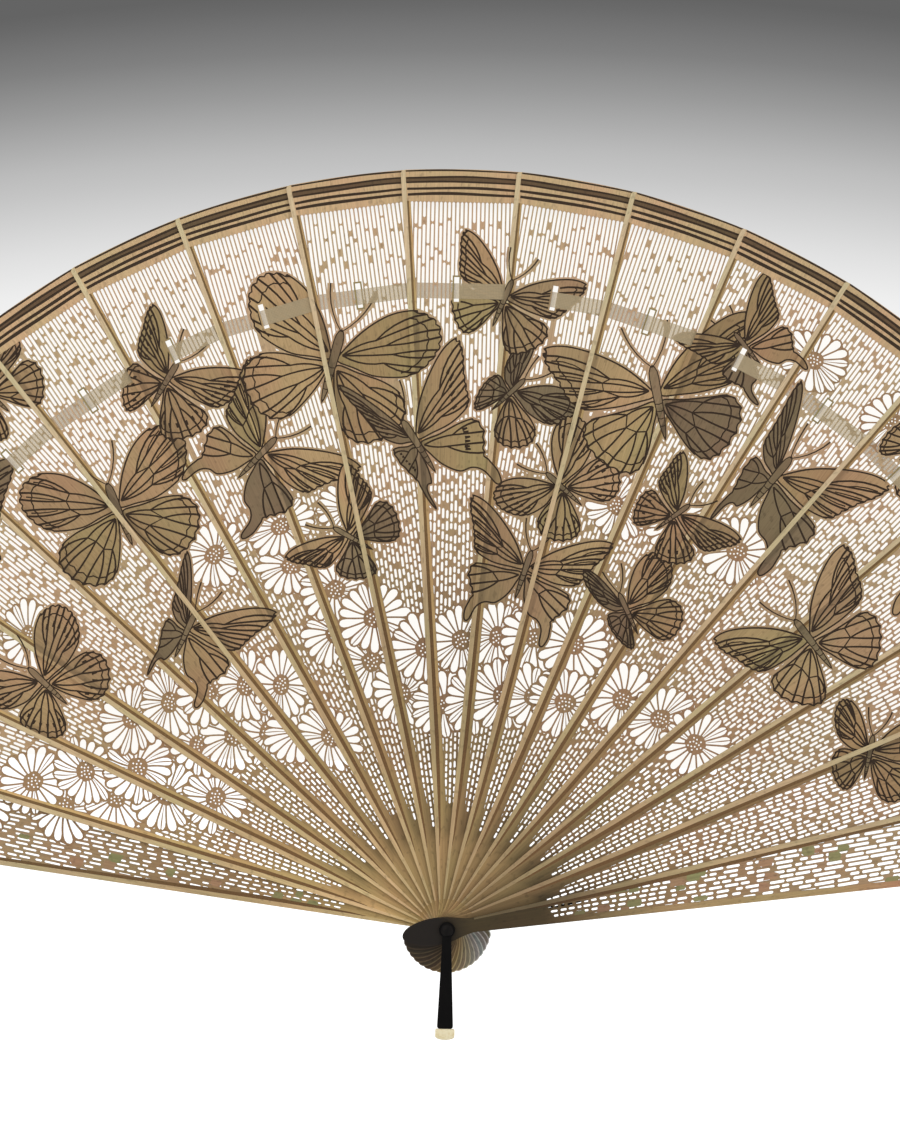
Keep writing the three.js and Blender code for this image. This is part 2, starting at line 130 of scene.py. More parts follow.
def smooth_ring(corners: Ring, steps: int) -> Ring:
    """Runs a smooth closed curve through the corners.

    Args:
        corners: the points that it passes.
        steps: the number of sides between two corners.

    Returns:
        The points of the curve.
    """
    count = len(corners)
    ring = []
    for index in range(count):
        p = [np.array(corners[(index + shift) % count]) for shift in (-1, 0, 1, 2)]
        for step in range(steps):
            t = step / steps
            at = 0.5 * (2 * p[1] + (p[2] - p[0]) * t
                        + (2 * p[0] - 5 * p[1] + 4 * p[2] - p[3]) * t**2
                        + (3 * p[1] - p[0] - 3 * p[2] + p[3]) * t**3)
            ring.append((float(at[0]), float(at[1])))
    return ring


def grown(ring: Ring, by: float) -> Ring:
    """Moves a ring outwards, or inwards where the distance is below zero, without loops.

    Args:
        ring: a closed outline.
        by: the distance.

    Returns:
        The moved outline, without the points that come too near the first one.
    """
    at = np.array(ring)
    ahead = np.roll(at, -1, 0)
    along = ahead - np.roll(at, 1, 0)
    along /= np.maximum(np.linalg.norm(along, axis=1, keepdims=True), 1e-9)
    moved = at + math.copysign(by, by * area_of(ring)) * np.stack([along[:, 1], -along[:, 0]], 1)
    way = ahead - at
    share = ((moved[:, None] - at) * way).sum(2) / np.maximum((way ** 2).sum(1), 1e-12)
    apart = np.linalg.norm(moved[:, None] - at - share.clip(0, 1)[..., None] * way, axis=2).min(1)
    return [tuple(p) for p in moved[apart > 0.9 * abs(by)]]


def stroke(line: Ring, start: float, end: float) -> Iterator[Ring]:
    """Cuts a drawn line into four-cornered rings.

    Args:
        line: the points of its middle.
        start: its width at the first point.
        end: its width at the last point.

    Yields:
        One ring for each stretch that doesn't fold over itself.
    """
    at = np.array(line)
    along = np.gradient(at, axis=0)
    along /= np.maximum(np.linalg.norm(along, axis=1, keepdims=True), 1e-9)
    half = np.linspace(start, end, len(at))[:, None] / 2
    side = half * np.stack([-along[:, 1], along[:, 0]], 1)
    left, right = at + side, at - side
    for index in range(len(at) - 1):
        ring = [tuple(p) for p in (right[index], right[index + 1], left[index + 1], left[index])]
        if area_of(ring[:3]) * area_of([ring[0], *ring[2:]]) > 0:
            yield ring


def curve(start: Point, end: Point, bulge: float, steps: int = 5) -> Ring:
    """A gently bent line between two points.

    Args:
        start: where it starts.
        end: where it ends.
        bulge: how far its middle stands off to the left, as a share of its length.
        steps: the number of stretches.

    Returns:
        The points of the line.
    """
    (ax, ay), (bx, by) = start, end
    line = []
    for step in range(steps + 1):
        t = step / steps
        off = 4 * t * (1 - t) * bulge
        line.append((between(ax, bx, t) - (by - ay) * off, between(ay, by, t) + (bx - ax) * off))
    return line


class Role(Enum):
    """What a ring of the drawing stands for."""

    OUTLINE = "outline"
    BORE = "bore"
    SLOT = "slot"
    FRAME = "frame"
    HEAD = "head"
    CORE = "head within its light rim"
    DRAWN = "drawn part"
    LATTICE = "lattice"
    BAND = "band"
    ZONE = "dark zone of the band"
    RIB = "rib"
    # The ring of the painted shade line beside the rib.
    LINE = "line"
    GROOVE = "groove"
    SLIT = "slit"
    OLIVE = "olive patch"
    ROSE = "rose patch"
    RIM = "rim"
    WING = "wing"
    CELL = "cell"
    STROKE = "stroke"
    FEELER = "feeler"
    DISC = "disc"
    PETAL = "petal"


BASE = {Role.OUTLINE, Role.BORE, Role.HEAD, Role.CORE}


class Kind(Enum):
    """What a face of a stick is: how many levels down it lies, and its colour. Of two colours the
    first one is that of the stick's lower half, the second one that of its tip."""

    RIB = (0, "#bba37c", "#c6b594")
    GORGE = (0, "#b79a6b")
    # The head's face and its rim are painted light: the table of heads gives the face painted shade
    # on the front heads and a painted reflection on the back ones, and the rim a painted highlight.
    HEAD = (0, "#6c6458")
    EDGE = (0, "#9a8a6c")
    BAND = (0, "#c0a480")
    ZONE = (0, "#5f4c37")
    FRAME = (0, "#8c7c54")
    FIELD = (1, "#957a59", "#b59b7d")
    DAISY = (1, "#987b5d")
    OLIVE = (1, "#8f8c62")
    ROSE = (1, "#a78569")
    WING_TAN = (1, "#a38662")
    WING_ROSE = (1, "#9f8261")
    WING_OLIVE = (1, "#9a845d")
    WING_UMBER = (1, "#7c6950")
    # The dark line beside the rib is painted shade, for the shadow of the rib and of the stick
    # behind.
    LINE = (2, "#6b5033", "#6c5637")
    GROOVE = (2, "#33271b")
    INK = (2, "#2c2015")

    @property
    def level(self) -> int:
        """How many levels it lies below the stick's own face."""
        return self.value[0]


KINDS = list(Kind)
LOW_STAIN = np.array([linear(kind.value[1]) for kind in KINDS])
HIGH_STAIN = np.array([linear(kind.value[-1]) for kind in KINDS])
WINGS = (Kind.WING_TAN, Kind.WING_OLIVE, Kind.WING_ROSE, Kind.WING_UMBER)
# The wing colours to draw from, each as often as it comes, and the one of bodies and far wings.
TINTS = (0, 0, 0, 0, 1, 1, 2, 3)
UMBER = 3
HOLE = -1


def are(kinds: np.ndarray, *wanted: Kind) -> np.ndarray:
    """Tests which of the numbers stand for wanted kinds, as a column."""
    return np.isin(kinds, [KINDS.index(kind) for kind in wanted])[:, None]


@dataclass(frozen=True)
class Region:
    """One ring of the drawing, with what it stands for and the motif's layer that it is in."""

    role: Role
    layer: int = 0
    tint: int = 0


@dataclass(frozen=True)
class StickSizes:
    """The sizes of a blade or a guard in millimetres. Outline, slot and thickness are the solid's,
    the slits and the ties between them are finer. Patches is a number, shade a factor."""

    root_half: float
    spread: float
    head_thick: float
    tip_thick: float
    slit_pitch: float
    slit_width: float
    tie: float
    right_border: float
    slotted: bool
    patches: int
    rib: float = 1.5
    # The width of the painted shade line beside the rib.
    line: float = 1.2
    lap: float = 4.1
    lap_taper: float = 0.0064
    head_reach: float = 14.2
    head_long: float = 10.4
    head_half: float = 4.3
    waist_low: float = 2.0
    waist_high: float = 9.0
    tip_crown: float = 0.6
    corner_round: float = 1.4
    bore: float = 1.3
    gorge: float = 31.0
    lattice_top: float = 229.7
    slot_across: float = -1.2
    slot_reach: float = 202.0
    slot_half: Point = (0.8, 3.9)
    frame_wide: float = 0.5
    head_rim: float = 0.35
    shade: float = 1.0

    def half(self, reach: float) -> float:
        """The half width at a reach."""
        return self.root_half + reach * math.tan(math.radians(self.spread))

    def rib_at(self, reach: float) -> float:
        """The width of the light rib at a reach."""
        return float(np.interp(reach, (9, 31, 60), (0.5, 1.2, self.rib)))

    def shade_line_at(self, reach: float) -> float:
        """The width of the painted shade line beside the rib at a reach: a dark strip that stands
        for the shadow of the rib and of the stick behind.
        """
        return float(np.interp(reach, (24, 31, 50, 195, 225), (0, 0.5, self.line, self.line, 0.6)))

    def lapped(self, reach: float) -> float:
        """How far in from the left edge a blade stays solid, where the next one lies behind it."""
        lap = self.lap - self.lap_taper * reach if self.slotted else 0
        return max(self.rib_at(reach) + self.shade_line_at(reach), lap)

    def thick(self, reach: np.ndarray) -> np.ndarray:
        """The thickness at each reach, thinning evenly from the head to the tip."""
        share = (reach + self.head_reach) / (REACH + self.head_reach)
        return between(self.head_thick, self.tip_thick, share)

    def top(self, across: float) -> float:
        """The reach of the crowned tip at a place across the stick."""
        return REACH - self.tip_crown * (across / self.half(REACH - self.tip_crown)) ** 2

    def outline(self) -> Ring:
        """The stick's whole outline.

        Returns:
            Its points, anticlockwise from the foot of the head.
        """
        low = math.asin((self.waist_low + self.head_reach - self.head_long) / self.head_long)
        side = []
        for step in range(25):
            angle = between(-math.pi / 2, low, step / 24)
            up = self.head_long - self.head_reach + self.head_long * math.sin(angle)
            side.append((self.head_half * math.cos(angle), up))
        neck = side[-1]
        lean = -self.head_half * math.sin(low) / (self.head_long * math.cos(low))
        slope = math.tan(math.radians(self.spread))
        rise = (neck[0] - self.half(neck[1])) / (slope - lean)
        middle = (neck[0] + lean * rise, neck[1] + rise)
        side += self.bent(neck, middle, (self.half(self.waist_high), self.waist_high), 8)
        corner_reach = REACH - self.tip_crown
        corner = (self.half(corner_reach), corner_reach)
        below_reach = corner_reach - self.corner_round
        below = (self.half(below_reach), below_reach)
        inner = corner[0] - self.corner_round
        side += [below, *self.bent(below, corner, (inner, self.top(inner)), 5)]
        side += [(across, self.top(across)) for across in np.linspace(inner, 0, 7)[1:-1]]
        left = [(-across, up) for across, up in reversed(side[1:])]
        return [*side, (0.0, REACH), *left]

    @staticmethod
    def bent(start: Point, middle: Point, end: Point, steps: int) -> Ring:
        """Points on a quadratic curve, without its first one."""
        return [tuple(between(between(a, b, t), between(b, c, t), t)
                      for a, b, c in zip(start, middle, end))
                for t in (step / steps for step in range(1, steps + 1))]


BLADE = StickSizes(root_half=2.1, spread=4.2, head_thick=0.7, tip_thick=0.45, slit_pitch=1.32,
                   slit_width=1.0, tie=0.6, right_border=0.7, slotted=True, patches=0)
FRONT_GUARD = StickSizes(root_half=1.65, spread=3.7, head_thick=2.0, tip_thick=2.0, slit_pitch=1.45,
                         slit_width=1.25, tie=0.8, right_border=2.0, slotted=False, patches=46)
BACK_GUARD = StickSizes(root_half=1.65, spread=3.7, head_thick=2.0, tip_thick=2.0, slit_pitch=1.36,
                        slit_width=0.9, tie=1.0, right_border=1.6, slotted=False, patches=30,
                        shade=0.8)
# Slits from the front guard leftwards: the last stick of each group, and how short and how long
# they are near the top.
SLITS = ((0, 4, 14), (6, 3, 7), (12, 8, 20), (17, 4, 9), (18, 3, 8))


@dataclass(frozen=True)
class Place:
    """Where a motif lies as one stick sees it: its centre, and its turn in radians."""

    across: float
    up: float
    turn: float

    @classmethod
    def seen(cls, bearing: float, reach: float, turn: float, stick: int) -> "Place":
        """Places a motif for one stick.

        Args:
            bearing: the motif's bearing, as a share of half the opening.
            reach: its distance from the rivet, as a share of the reach.
            turn: its turn from the radius in degrees.
            stick: the number of the stick.

        Returns:
            The place.
        """
        aside = bearing * math.radians(OPENING) / 2 - bearing_of(stick)
        far = reach * REACH
        return cls(far * math.sin(aside), far * math.cos(aside), math.radians(turn) + aside)

    def set(self, ring: Ring) -> Ring:
        """A ring drawn round the motif's centre, moved to its place on the stick."""
        cos, sin = math.cos(self.turn), math.sin(self.turn)
        return [(self.across + x * cos + y * sin, self.up - x * sin + y * cos) for x, y in ring]


class Drawing:
    """The flat drawing of one stick, cut into triangles that know their kind."""

    def __init__(self, sizes: StickSizes, bare_rib: bool) -> None:
        """Starts an empty drawing for a stick, its rib over the wings or under them."""
        self.sizes = sizes
        self.bare_rib = bare_rib
        self.rings: list[Ring] = []
        self.regions: list[Region] = []

    def near(self, ring: Ring) -> bool:
        """Whether a ring may touch the stick."""
        x, y = np.array(ring).T
        wide = self.sizes.half(float(y.max())) + 0.3
        return bool(x.max() > -wide and x.min() < wide and y.max() > 8 and y.min() < REACH + 1)

    def add(self, role: Role, ring: Ring, layer: int = 0, tint: int = 0) -> None:
        """Adds a ring, turned anticlockwise, unless it misses the stick or has no size.

        Args:
            role: what it stands for.
            ring: its points.
            layer: the motif's layer, higher where it covers others.
            tint: the number of its wing colour.
        """
        area = area_of(ring)
        if abs(area) < 0.01 or (role not in BASE and not self.near(ring)):
            return
        self.rings.append(ring if area > 0 else ring[::-1])
        self.regions.append(Region(role, layer, tint))

    def covered(self, roles: set[Role], points: np.ndarray) -> np.ndarray:
        """Tests which points lie in a ring of some roles."""
        found = np.zeros(len(points), bool)
        for ring, region in zip(self.rings, self.regions):
            if region.role in roles:
                found |= inside(ring, points)
        return found

    def kind_of(self, found: list[int]) -> int:
        """Settles what a triangle is.

        Args:
            found: the numbers of the rings that it lies in.

        Returns:
            The number of its kind, or HOLE.
        """
        seen: dict[Role, list[Region]] = {}
        for index in found:
            seen.setdefault(self.regions[index].role, []).append(self.regions[index])
        if Role.OUTLINE not in seen or Role.BORE in seen or Role.SLOT in seen:
            return HOLE
        if self.bare_rib and Role.RIB in seen:
            return KINDS.index(Kind.RIB)
        if Role.DRAWN in seen and Role.WING in seen:
            top = max(seen[Role.WING], key=lambda region: region.layer)
            in_cell = any(region.layer == top.layer for region in seen.get(Role.CELL, ()))
            inked = any(region.layer == top.layer for region in seen.get(Role.STROKE, ()))
            plain = Role.FRAME in seen or (in_cell and not inked)
            return KINDS.index(WINGS[top.tint] if plain else Kind.INK)
        if Role.FRAME in seen:
            return KINDS.index(Kind.FRAME)
        if Role.DRAWN in seen and Role.FEELER in seen:
            return KINDS.index(Kind.INK)
        if Role.LATTICE in seen:
            if Role.RIM in seen:
                return KINDS.index(Kind.FIELD)
            if Role.DISC in seen:
                top_layer = max(region.layer for region in seen[Role.DISC])
                cut = any(region.layer == top_layer for region in seen.get(Role.PETAL, ()))
                return HOLE if cut else KINDS.index(Kind.DAISY)
            for role, kind in ((Role.OLIVE, Kind.OLIVE), (Role.ROSE, Kind.ROSE)):
                if role in seen:
                    return KINDS.index(kind)
            return HOLE if Role.SLIT in seen else KINDS.index(Kind.FIELD)
        for role, kind in ((Role.GROOVE, Kind.GROOVE), (Role.LINE, Kind.LINE), (Role.RIB, Kind.RIB),
                           (Role.ZONE, Kind.ZONE), (Role.BAND, Kind.BAND), (Role.CORE, Kind.HEAD),
                           (Role.HEAD, Kind.EDGE)):
            if role in seen:
                return KINDS.index(kind)
        return KINDS.index(Kind.GORGE)

    def solve(self) -> tuple[np.ndarray, np.ndarray, np.ndarray]:
        """Cuts the drawing into triangles.

        Returns:
            The points, the corners of each triangle that is solid, and the number of its kind.
        """
        points = [Vector(point) for ring in self.rings for point in ring]
        faces = []
        first = 0
        for ring in self.rings:
            faces.append(list(range(first, first + len(ring))))
            first += len(ring)
        spots, _, cut, _, _, origins = delaunay_2d_cdt(points, [], faces, 1, 1e-4, True)
        kinds = [self.kind_of(found) for found in origins]
        solid = [(corners, kind) for corners, kind in zip(cut, kinds) if kind != HOLE]
        return (np.array([tuple(spot) for spot in spots]),
                np.array([corners for corners, _ in solid]),
                np.array([kind for _, kind in solid]))


@dataclass(frozen=True)
class Wing:
    """A wing's form in shares of the span: its corners, the numbers of the outer edge's first and
    last corner, how many forked veins it has and where it grows from."""

    corners: tuple[Point, ...]
    first: int
    last: int
    stems: int
    root: Point


FORE_ROOT, HIND_ROOT = (0.035, 0.045), (0.03, -0.03)
# Fore and hind wings of three plain kinds: broad, tailed and round.
SPECIES = (
    (Wing(((0.02, 0.05), (0.12, 0.17), (0.26, 0.27), (0.40, 0.33), (0.50, 0.325), (0.50, 0.25),
           (0.46, 0.165), (0.43, 0.08), (0.37, 0.015), (0.22, -0.005), (0.1, 0.0), (0.02, 0.01)),
          4, 8, 4, FORE_ROOT),
     Wing(((0.02, -0.005), (0.12, -0.02), (0.24, -0.03), (0.34, -0.04), (0.385, -0.10),
           (0.37, -0.18), (0.32, -0.25), (0.25, -0.31), (0.185, -0.33), (0.13, -0.30),
           (0.08, -0.22), (0.04, -0.12), (0.015, -0.06)), 3, 9, 4, HIND_ROOT)),
    (Wing(((0.02, 0.05), (0.12, 0.18), (0.27, 0.30), (0.42, 0.38), (0.53, 0.385), (0.515, 0.30),
           (0.46, 0.20), (0.42, 0.11), (0.38, 0.03), (0.24, -0.01), (0.1, 0.0), (0.02, 0.01)),
          4, 8, 4, FORE_ROOT),
     Wing(((0.02, -0.005), (0.14, -0.02), (0.27, -0.03), (0.36, -0.06), (0.375, -0.14),
           (0.33, -0.22), (0.30, -0.28), (0.31, -0.38), (0.29, -0.45), (0.255, -0.44),
           (0.235, -0.34), (0.19, -0.29), (0.12, -0.27), (0.06, -0.19), (0.03, -0.1)),
          3, 6, 2, HIND_ROOT)),
    (Wing(((0.02, 0.05), (0.1, 0.19), (0.21, 0.30), (0.34, 0.35), (0.44, 0.32), (0.48, 0.23),
           (0.455, 0.13), (0.38, 0.04), (0.22, -0.01), (0.1, 0.0), (0.02, 0.01)),
          3, 7, 4, FORE_ROOT),
     Wing(((0.02, -0.005), (0.13, -0.01), (0.26, -0.02), (0.36, -0.06), (0.405, -0.14),
           (0.38, -0.23), (0.31, -0.305), (0.22, -0.34), (0.14, -0.31), (0.08, -0.22),
           (0.03, -0.1)), 3, 8, 4, HIND_ROOT)),
)
BODY = ((0.0, 0.165), (0.022, 0.13), (0.024, 0.06), (0.02, -0.04), (0.014, -0.14),
        (0.0, -0.2), (-0.014, -0.14), (-0.02, -0.04), (-0.024, 0.06), (-0.022, 0.13))


@dataclass(frozen=True)
class Butterfly:
    """A plain butterfly. Bearing is a share of half the opening, reach and span of the reach. Turn
    is in degrees, and fold is how wide its left wings look."""

    bearing: float
    reach: float
    span: float
    turn: float
    fold: float

    LAYERS = 10
    STEPS = 6
    # In millimetres: the solid rim that carries it, and its dark border on wings and body.
    RIM, BORDER, BODY_BORDER = 0.5, 0.5, 0.35
    # How far a folded wing is raised, and from where on it counts as a far wing.
    RAISED, FAR, BOLD = 0.45, 0.2, 1.15
    # Lines by their width at the start and at the end, in millimetres.
    LEADING, STEM, FORK = (1.0, 0.8), (0.5, 0.45), (0.45, 0.6)
    EXTRA, ARC, MARK = (0.3, 0.4), (0.4, 0.4), (0.9, 0.5)
    FEELER, FEELER_RIM = (0.3, 0.5), (1.5, 2.1)

    def draw(self, drawing: Drawing, stick: int, number: int) -> None:
        """Draws the butterfly on a stick.

        Args:
            drawing: the stick's drawing.
            stick: the stick's number.
            number: the butterfly's own number.
        """
        place = Place.seen(self.bearing, self.reach, self.turn, stick)
        span = self.span * REACH
        if abs(place.across) > span * 0.6 + drawing.sizes.half(place.up) or place.up < 0:
            return
        for side in (-self.fold, 1.0):
            for fore in (False, True):
                self.wing(drawing, place, span, side, fore, number)
        layer = (number + 1) * self.LAYERS - 1
        body = place.set([(x * span, y * span) for x, y in smooth_ring(BODY, 2)])
        drawing.add(Role.WING, body, layer, UMBER)
        drawing.add(Role.RIM, grown(body, self.RIM))
        drawing.add(Role.CELL, grown(body, -self.BODY_BORDER), layer)
        for band in range(4):
            up = (-0.02 - 0.035 * band) * span
            bar = place.set([(-0.02 * span, up), (0.0, up - 0.3), (0.02 * span, up)])
            for ring in stroke(bar, 0.3, 0.3):
                drawing.add(Role.STROKE, ring, layer)
        for side in (-self.fold, 1.0):
            foot, end = (0.0, 0.15 * span), (side * 0.11 * span, 0.36 * span)
            feeler = place.set(curve(foot, end, -0.08 * side))
            for role, widths in ((Role.FEELER, self.FEELER), (Role.RIM, self.FEELER_RIM)):
                for ring in stroke(feeler, *widths):
                    drawing.add(role, ring)

    def wing(self, drawing: Drawing, place: Place, span: float, side: float, fore: bool,
             number: int) -> None:
        """Draws one wing: its outline and rim, forked veins and marks.

        Args:
            drawing: the stick's drawing.
            place: where the butterfly lies on the stick.
            span: its span in millimetres.
            side: 1 for the right, and minus how wide the wing looks for the left.
            fore: whether it is a forewing.
            number: the butterfly's own number.
        """
        dice = random.Random(number * 7 + fore * 3 + (side > 0))
        layer = number * self.LAYERS + (4 if side > 0 else 0) + (2 if fore else 1)
        form = SPECIES[number % len(SPECIES)][0 if fore else 1]
        raised = self.RAISED * (1 - self.fold) if side < 0 else 0.0
        far = raised > self.FAR
        shape = smooth_ring(form.corners, self.STEPS)
        first, last = form.first * self.STEPS, form.last * self.STEPS
        for index in range(first, last + 1):
            phase = 2 * form.stems * (index - first) / (last - first)
            shrink = 1 - 0.04 * abs(math.cos(math.pi * phase))
            shape[index] = (shape[index][0] * shrink, shape[index][1] * shrink)

        def set_out(line: Ring) -> Ring:
            """Places points of the wing on the stick."""
            return place.set([(x * span * side, (y + raised * x) * span) for x, y in line])

        def toward(along: float, share: float) -> Point:
            """The point at a share of the way from the root to a place along the outer edge."""
            x, y = shape[round(between(first, last, along))]
            return between(form.root[0], x, share), between(form.root[1], y, share)

        ring = set_out(shape)
        drawing.add(Role.WING, ring, layer, UMBER if far else dice.choice(TINTS))
        drawing.add(Role.RIM, grown(ring, self.RIM))
        drawing.add(Role.CELL, grown(ring, -self.BORDER), layer)
        bold = 1.0 if far else self.BOLD
        lines = [(shape[2:first + 2], self.LEADING)]
        forks = []
        for stem in range(form.stems):
            along = (stem + 0.5) / form.stems
            bulge = between(0.1, -0.1, along) + dice.uniform(-0.02, 0.02)
            fork = toward(along, dice.uniform(0.36, 0.54))
            forks.append(fork)
            lines.append((curve(form.root, fork, bulge), self.STEM))
            for way in (-1, 1):
                end = toward(along + way * 0.25 / form.stems, 1.0)
                bend = between(0.07, -0.07, along) - 0.04 * way
                lines.append((curve(fork, end, bend), self.FORK))
            if number % 2 and fore and not far:
                extra = curve(toward(along, 0.62), toward(along, 0.94), bulge, 3)
                lines.append((extra, self.EXTRA))
        if number % 2:
            lines.append((forks, self.ARC))
        if number % 3 != 1:
            lines.append(([toward(step / 14, 0.87) for step in range(15)], self.ARC))
        if number % 4 == 2:
            lines += [([toward(mark / 7, 0.68), toward(mark / 7, 0.77)], self.MARK)
                      for mark in range(1, 7)]
        for line, widths in lines:
            for piece in stroke(set_out(line), *(width * bold for width in widths)):
                drawing.add(Role.STROKE, piece, layer)


@dataclass(frozen=True)
class Daisy:
    """An open daisy: a disc of fine ribs with its petals and the middle's dots cut away. Bearing is
    a share of half the opening, reach a share of the reach, and radius is in millimetres."""

    bearing: float
    reach: float
    radius: float = 12.0
    petals: int = 18

    # Where along a petal its width is set, and how much of the width there is cut away.
    SHARES = (0.3, 0.45, 0.62, 0.78, 0.9, 0.97)
    FILL = (1, 1, 1, 1, 0.82, 0.5)
    # The rib between two petals and the narrowest cut in millimetres, halved, and how many of the
    # petals are cut as two.
    RIB, NARROW, SPLIT = 0.27, 0.15, 0.35
    DOTS, DOT = 13, 0.3

    def draw(self, drawing: Drawing, stick: int, number: int) -> None:
        """Draws the daisy on a stick.

        Args:
            drawing: the stick's drawing.
            stick: the stick's number.
            number: the daisy's own number.
        """
        place = Place.seen(self.bearing, self.reach, 0, stick)
        if abs(place.across) > self.radius + drawing.sizes.half(place.up) or place.up < 0:
            return
        dice = random.Random(100 + number)
        start, swirl = dice.random(), dice.uniform(-0.3, 0.3)
        lean, flat = dice.uniform(0, math.pi), dice.uniform(0.78, 1)

        def tilted(angle: float, out: float) -> Point:
            """A point at an angle and distance, on a flower that is seen a little from the side."""
            angle += swirl * (out / self.radius - 0.3)
            x, y = out * math.sin(angle - lean), flat * out * math.cos(angle - lean)
            return (x * math.cos(lean) + y * math.sin(lean),
                    y * math.cos(lean) - x * math.sin(lean))

        step = 2 * math.pi / self.petals
        disc = []
        for petal in range(self.petals):
            middle = (petal + start) * step
            long = self.radius * dice.uniform(0.86, 1)
            disc += [tilted(middle + aside * step, long + out)
                     for aside, out in ((-0.28, 0.25), (0, 0.65), (0.28, 0.25), (0.5, -0.3))]
            halves = [max(share * long * math.sin(step / 2) - self.RIB, self.NARROW) * full
                      for share, full in zip(self.SHARES, self.FILL)]
            split = dice.random() < self.SPLIT
            for low, high in (((-1, -0.15), (0.15, 1)) if split else ((-1, 1),)):
                left, right = ([tilted(middle + side * half / (share * long), share * long)
                                for share, half in zip(self.SHARES, halves)]
                               for side in (low, high))
                tip = tilted(middle + (low + high) * 0.03, long)
                drawing.add(Role.PETAL, place.set([*right, tip, *reversed(left)]), number)
        drawing.add(Role.DISC, place.set(disc), number)
        for dot in range(self.DOTS):
            out = 0.2 * self.radius * math.sqrt((dot + 0.5) / self.DOTS)
            ring = round_of(6, self.DOT, *tilted(dot * 2.4, out))
            drawing.add(Role.PETAL, place.set(ring), number)


# Every butterfly by its bearing, reach, span, turn and fold.
BUTTERFLIES = [Butterfly(*shares) for shares in (
    (-0.87, 0.88, 0.21, 7, 0.6), (-0.69, 0.85, 0.24, 44, 0.9), (-0.76, 0.62, 0.2, 12, 0.8),
    (-0.53, 0.93, 0.19, -8, 0.8), (-0.54, 0.52, 0.19, 66, 0.45), (-0.5, 0.7, 0.25, 16, 1),
    (-0.36, 0.81, 0.2, 58, 0.7), (-0.29, 0.67, 0.21, 65, 0.9), (-0.16, 0.76, 0.28, 27, 1),
    (-0.19, 0.53, 0.17, -47, 0.8), (-0.06, 0.64, 0.23, -29, 0.4), (0.07, 0.71, 0.17, 40, 0.5),
    (0.05, 0.83, 0.19, 18, 0.9), (0.14, 0.48, 0.19, 7, 1), (0.17, 0.6, 0.18, -62, 0.9),
    (0.26, 0.75, 0.28, -32, 1), (0.33, 0.86, 0.16, -66, 0.8), (0.36, 0.48, 0.17, -54, 0.45),
    (0.35, 0.62, 0.16, 25, 0.8), (0.44, 0.73, 0.24, 4, 0.45), (0.55, 0.89, 0.18, 17, 0.6),
    (0.64, 0.61, 0.23, -89, 0.9), (0.69, 0.85, 0.25, -27, 1), (0.84, 0.6, 0.17, -56, 0.7),
    (0.88, 0.86, 0.2, -10, 0.7))]
# Rows of daisies: the first one's and the end's bearing and reach, how many, and in how many rows.
DRIFTS = (
    ((-0.96, 0.64), (-0.76, 0.4), 4, 2), ((-0.73, 0.5), (-0.38, 0.36), 5, 2),
    ((-0.31, 0.52), (-0.12, 0.37), 3, 2), ((-0.07, 0.37), (0.38, 0.42), 5, 2),
    ((0.46, 0.38), (0.76, 0.42), 3, 1), ((0.4, 0.89), (0.84, 0.88), 4, 1),
    ((-0.98, 0.82), (-0.66, 0.74), 3, 2), ((-0.42, 0.58), (-0.06, 0.56), 3, 1),
    ((0.26, 0.6), (0.56, 0.64), 3, 1))


def daisies() -> list[Daisy]:
    """The daisies of every drift, the second row nearer the rivet and half a step on."""
    found = []
    for start, end, count, rows in DRIFTS:
        for index in range(count):
            for row in range(rows):
                along = (index + row / 2) / count
                found.append(Daisy(between(start[0], end[0], along),
                                   between(start[1], end[1], along) - row * 0.08))
    return found


# Heads from the front guard leftwards, painted light and shade: a stick's number, its head's stain
# and its rim's. The front heads carry painted shade, the back heads a painted reflection that makes
# them pale grey, and every rim a painted highlight.
PAINTED_HEAD_LIGHT = ((0, "#140e08", "#1d150d"), (1, "#2c241a", "#463a2b"), (6, "#473a2b", "#6f5e45"),
         (9, "#806b4a", "#b59e72"), (12, "#8a8270", "#bdb299"), (15, "#9a9b9c", "#d3d4d3"),
         (18, "#877c69", "#dadbd8"))


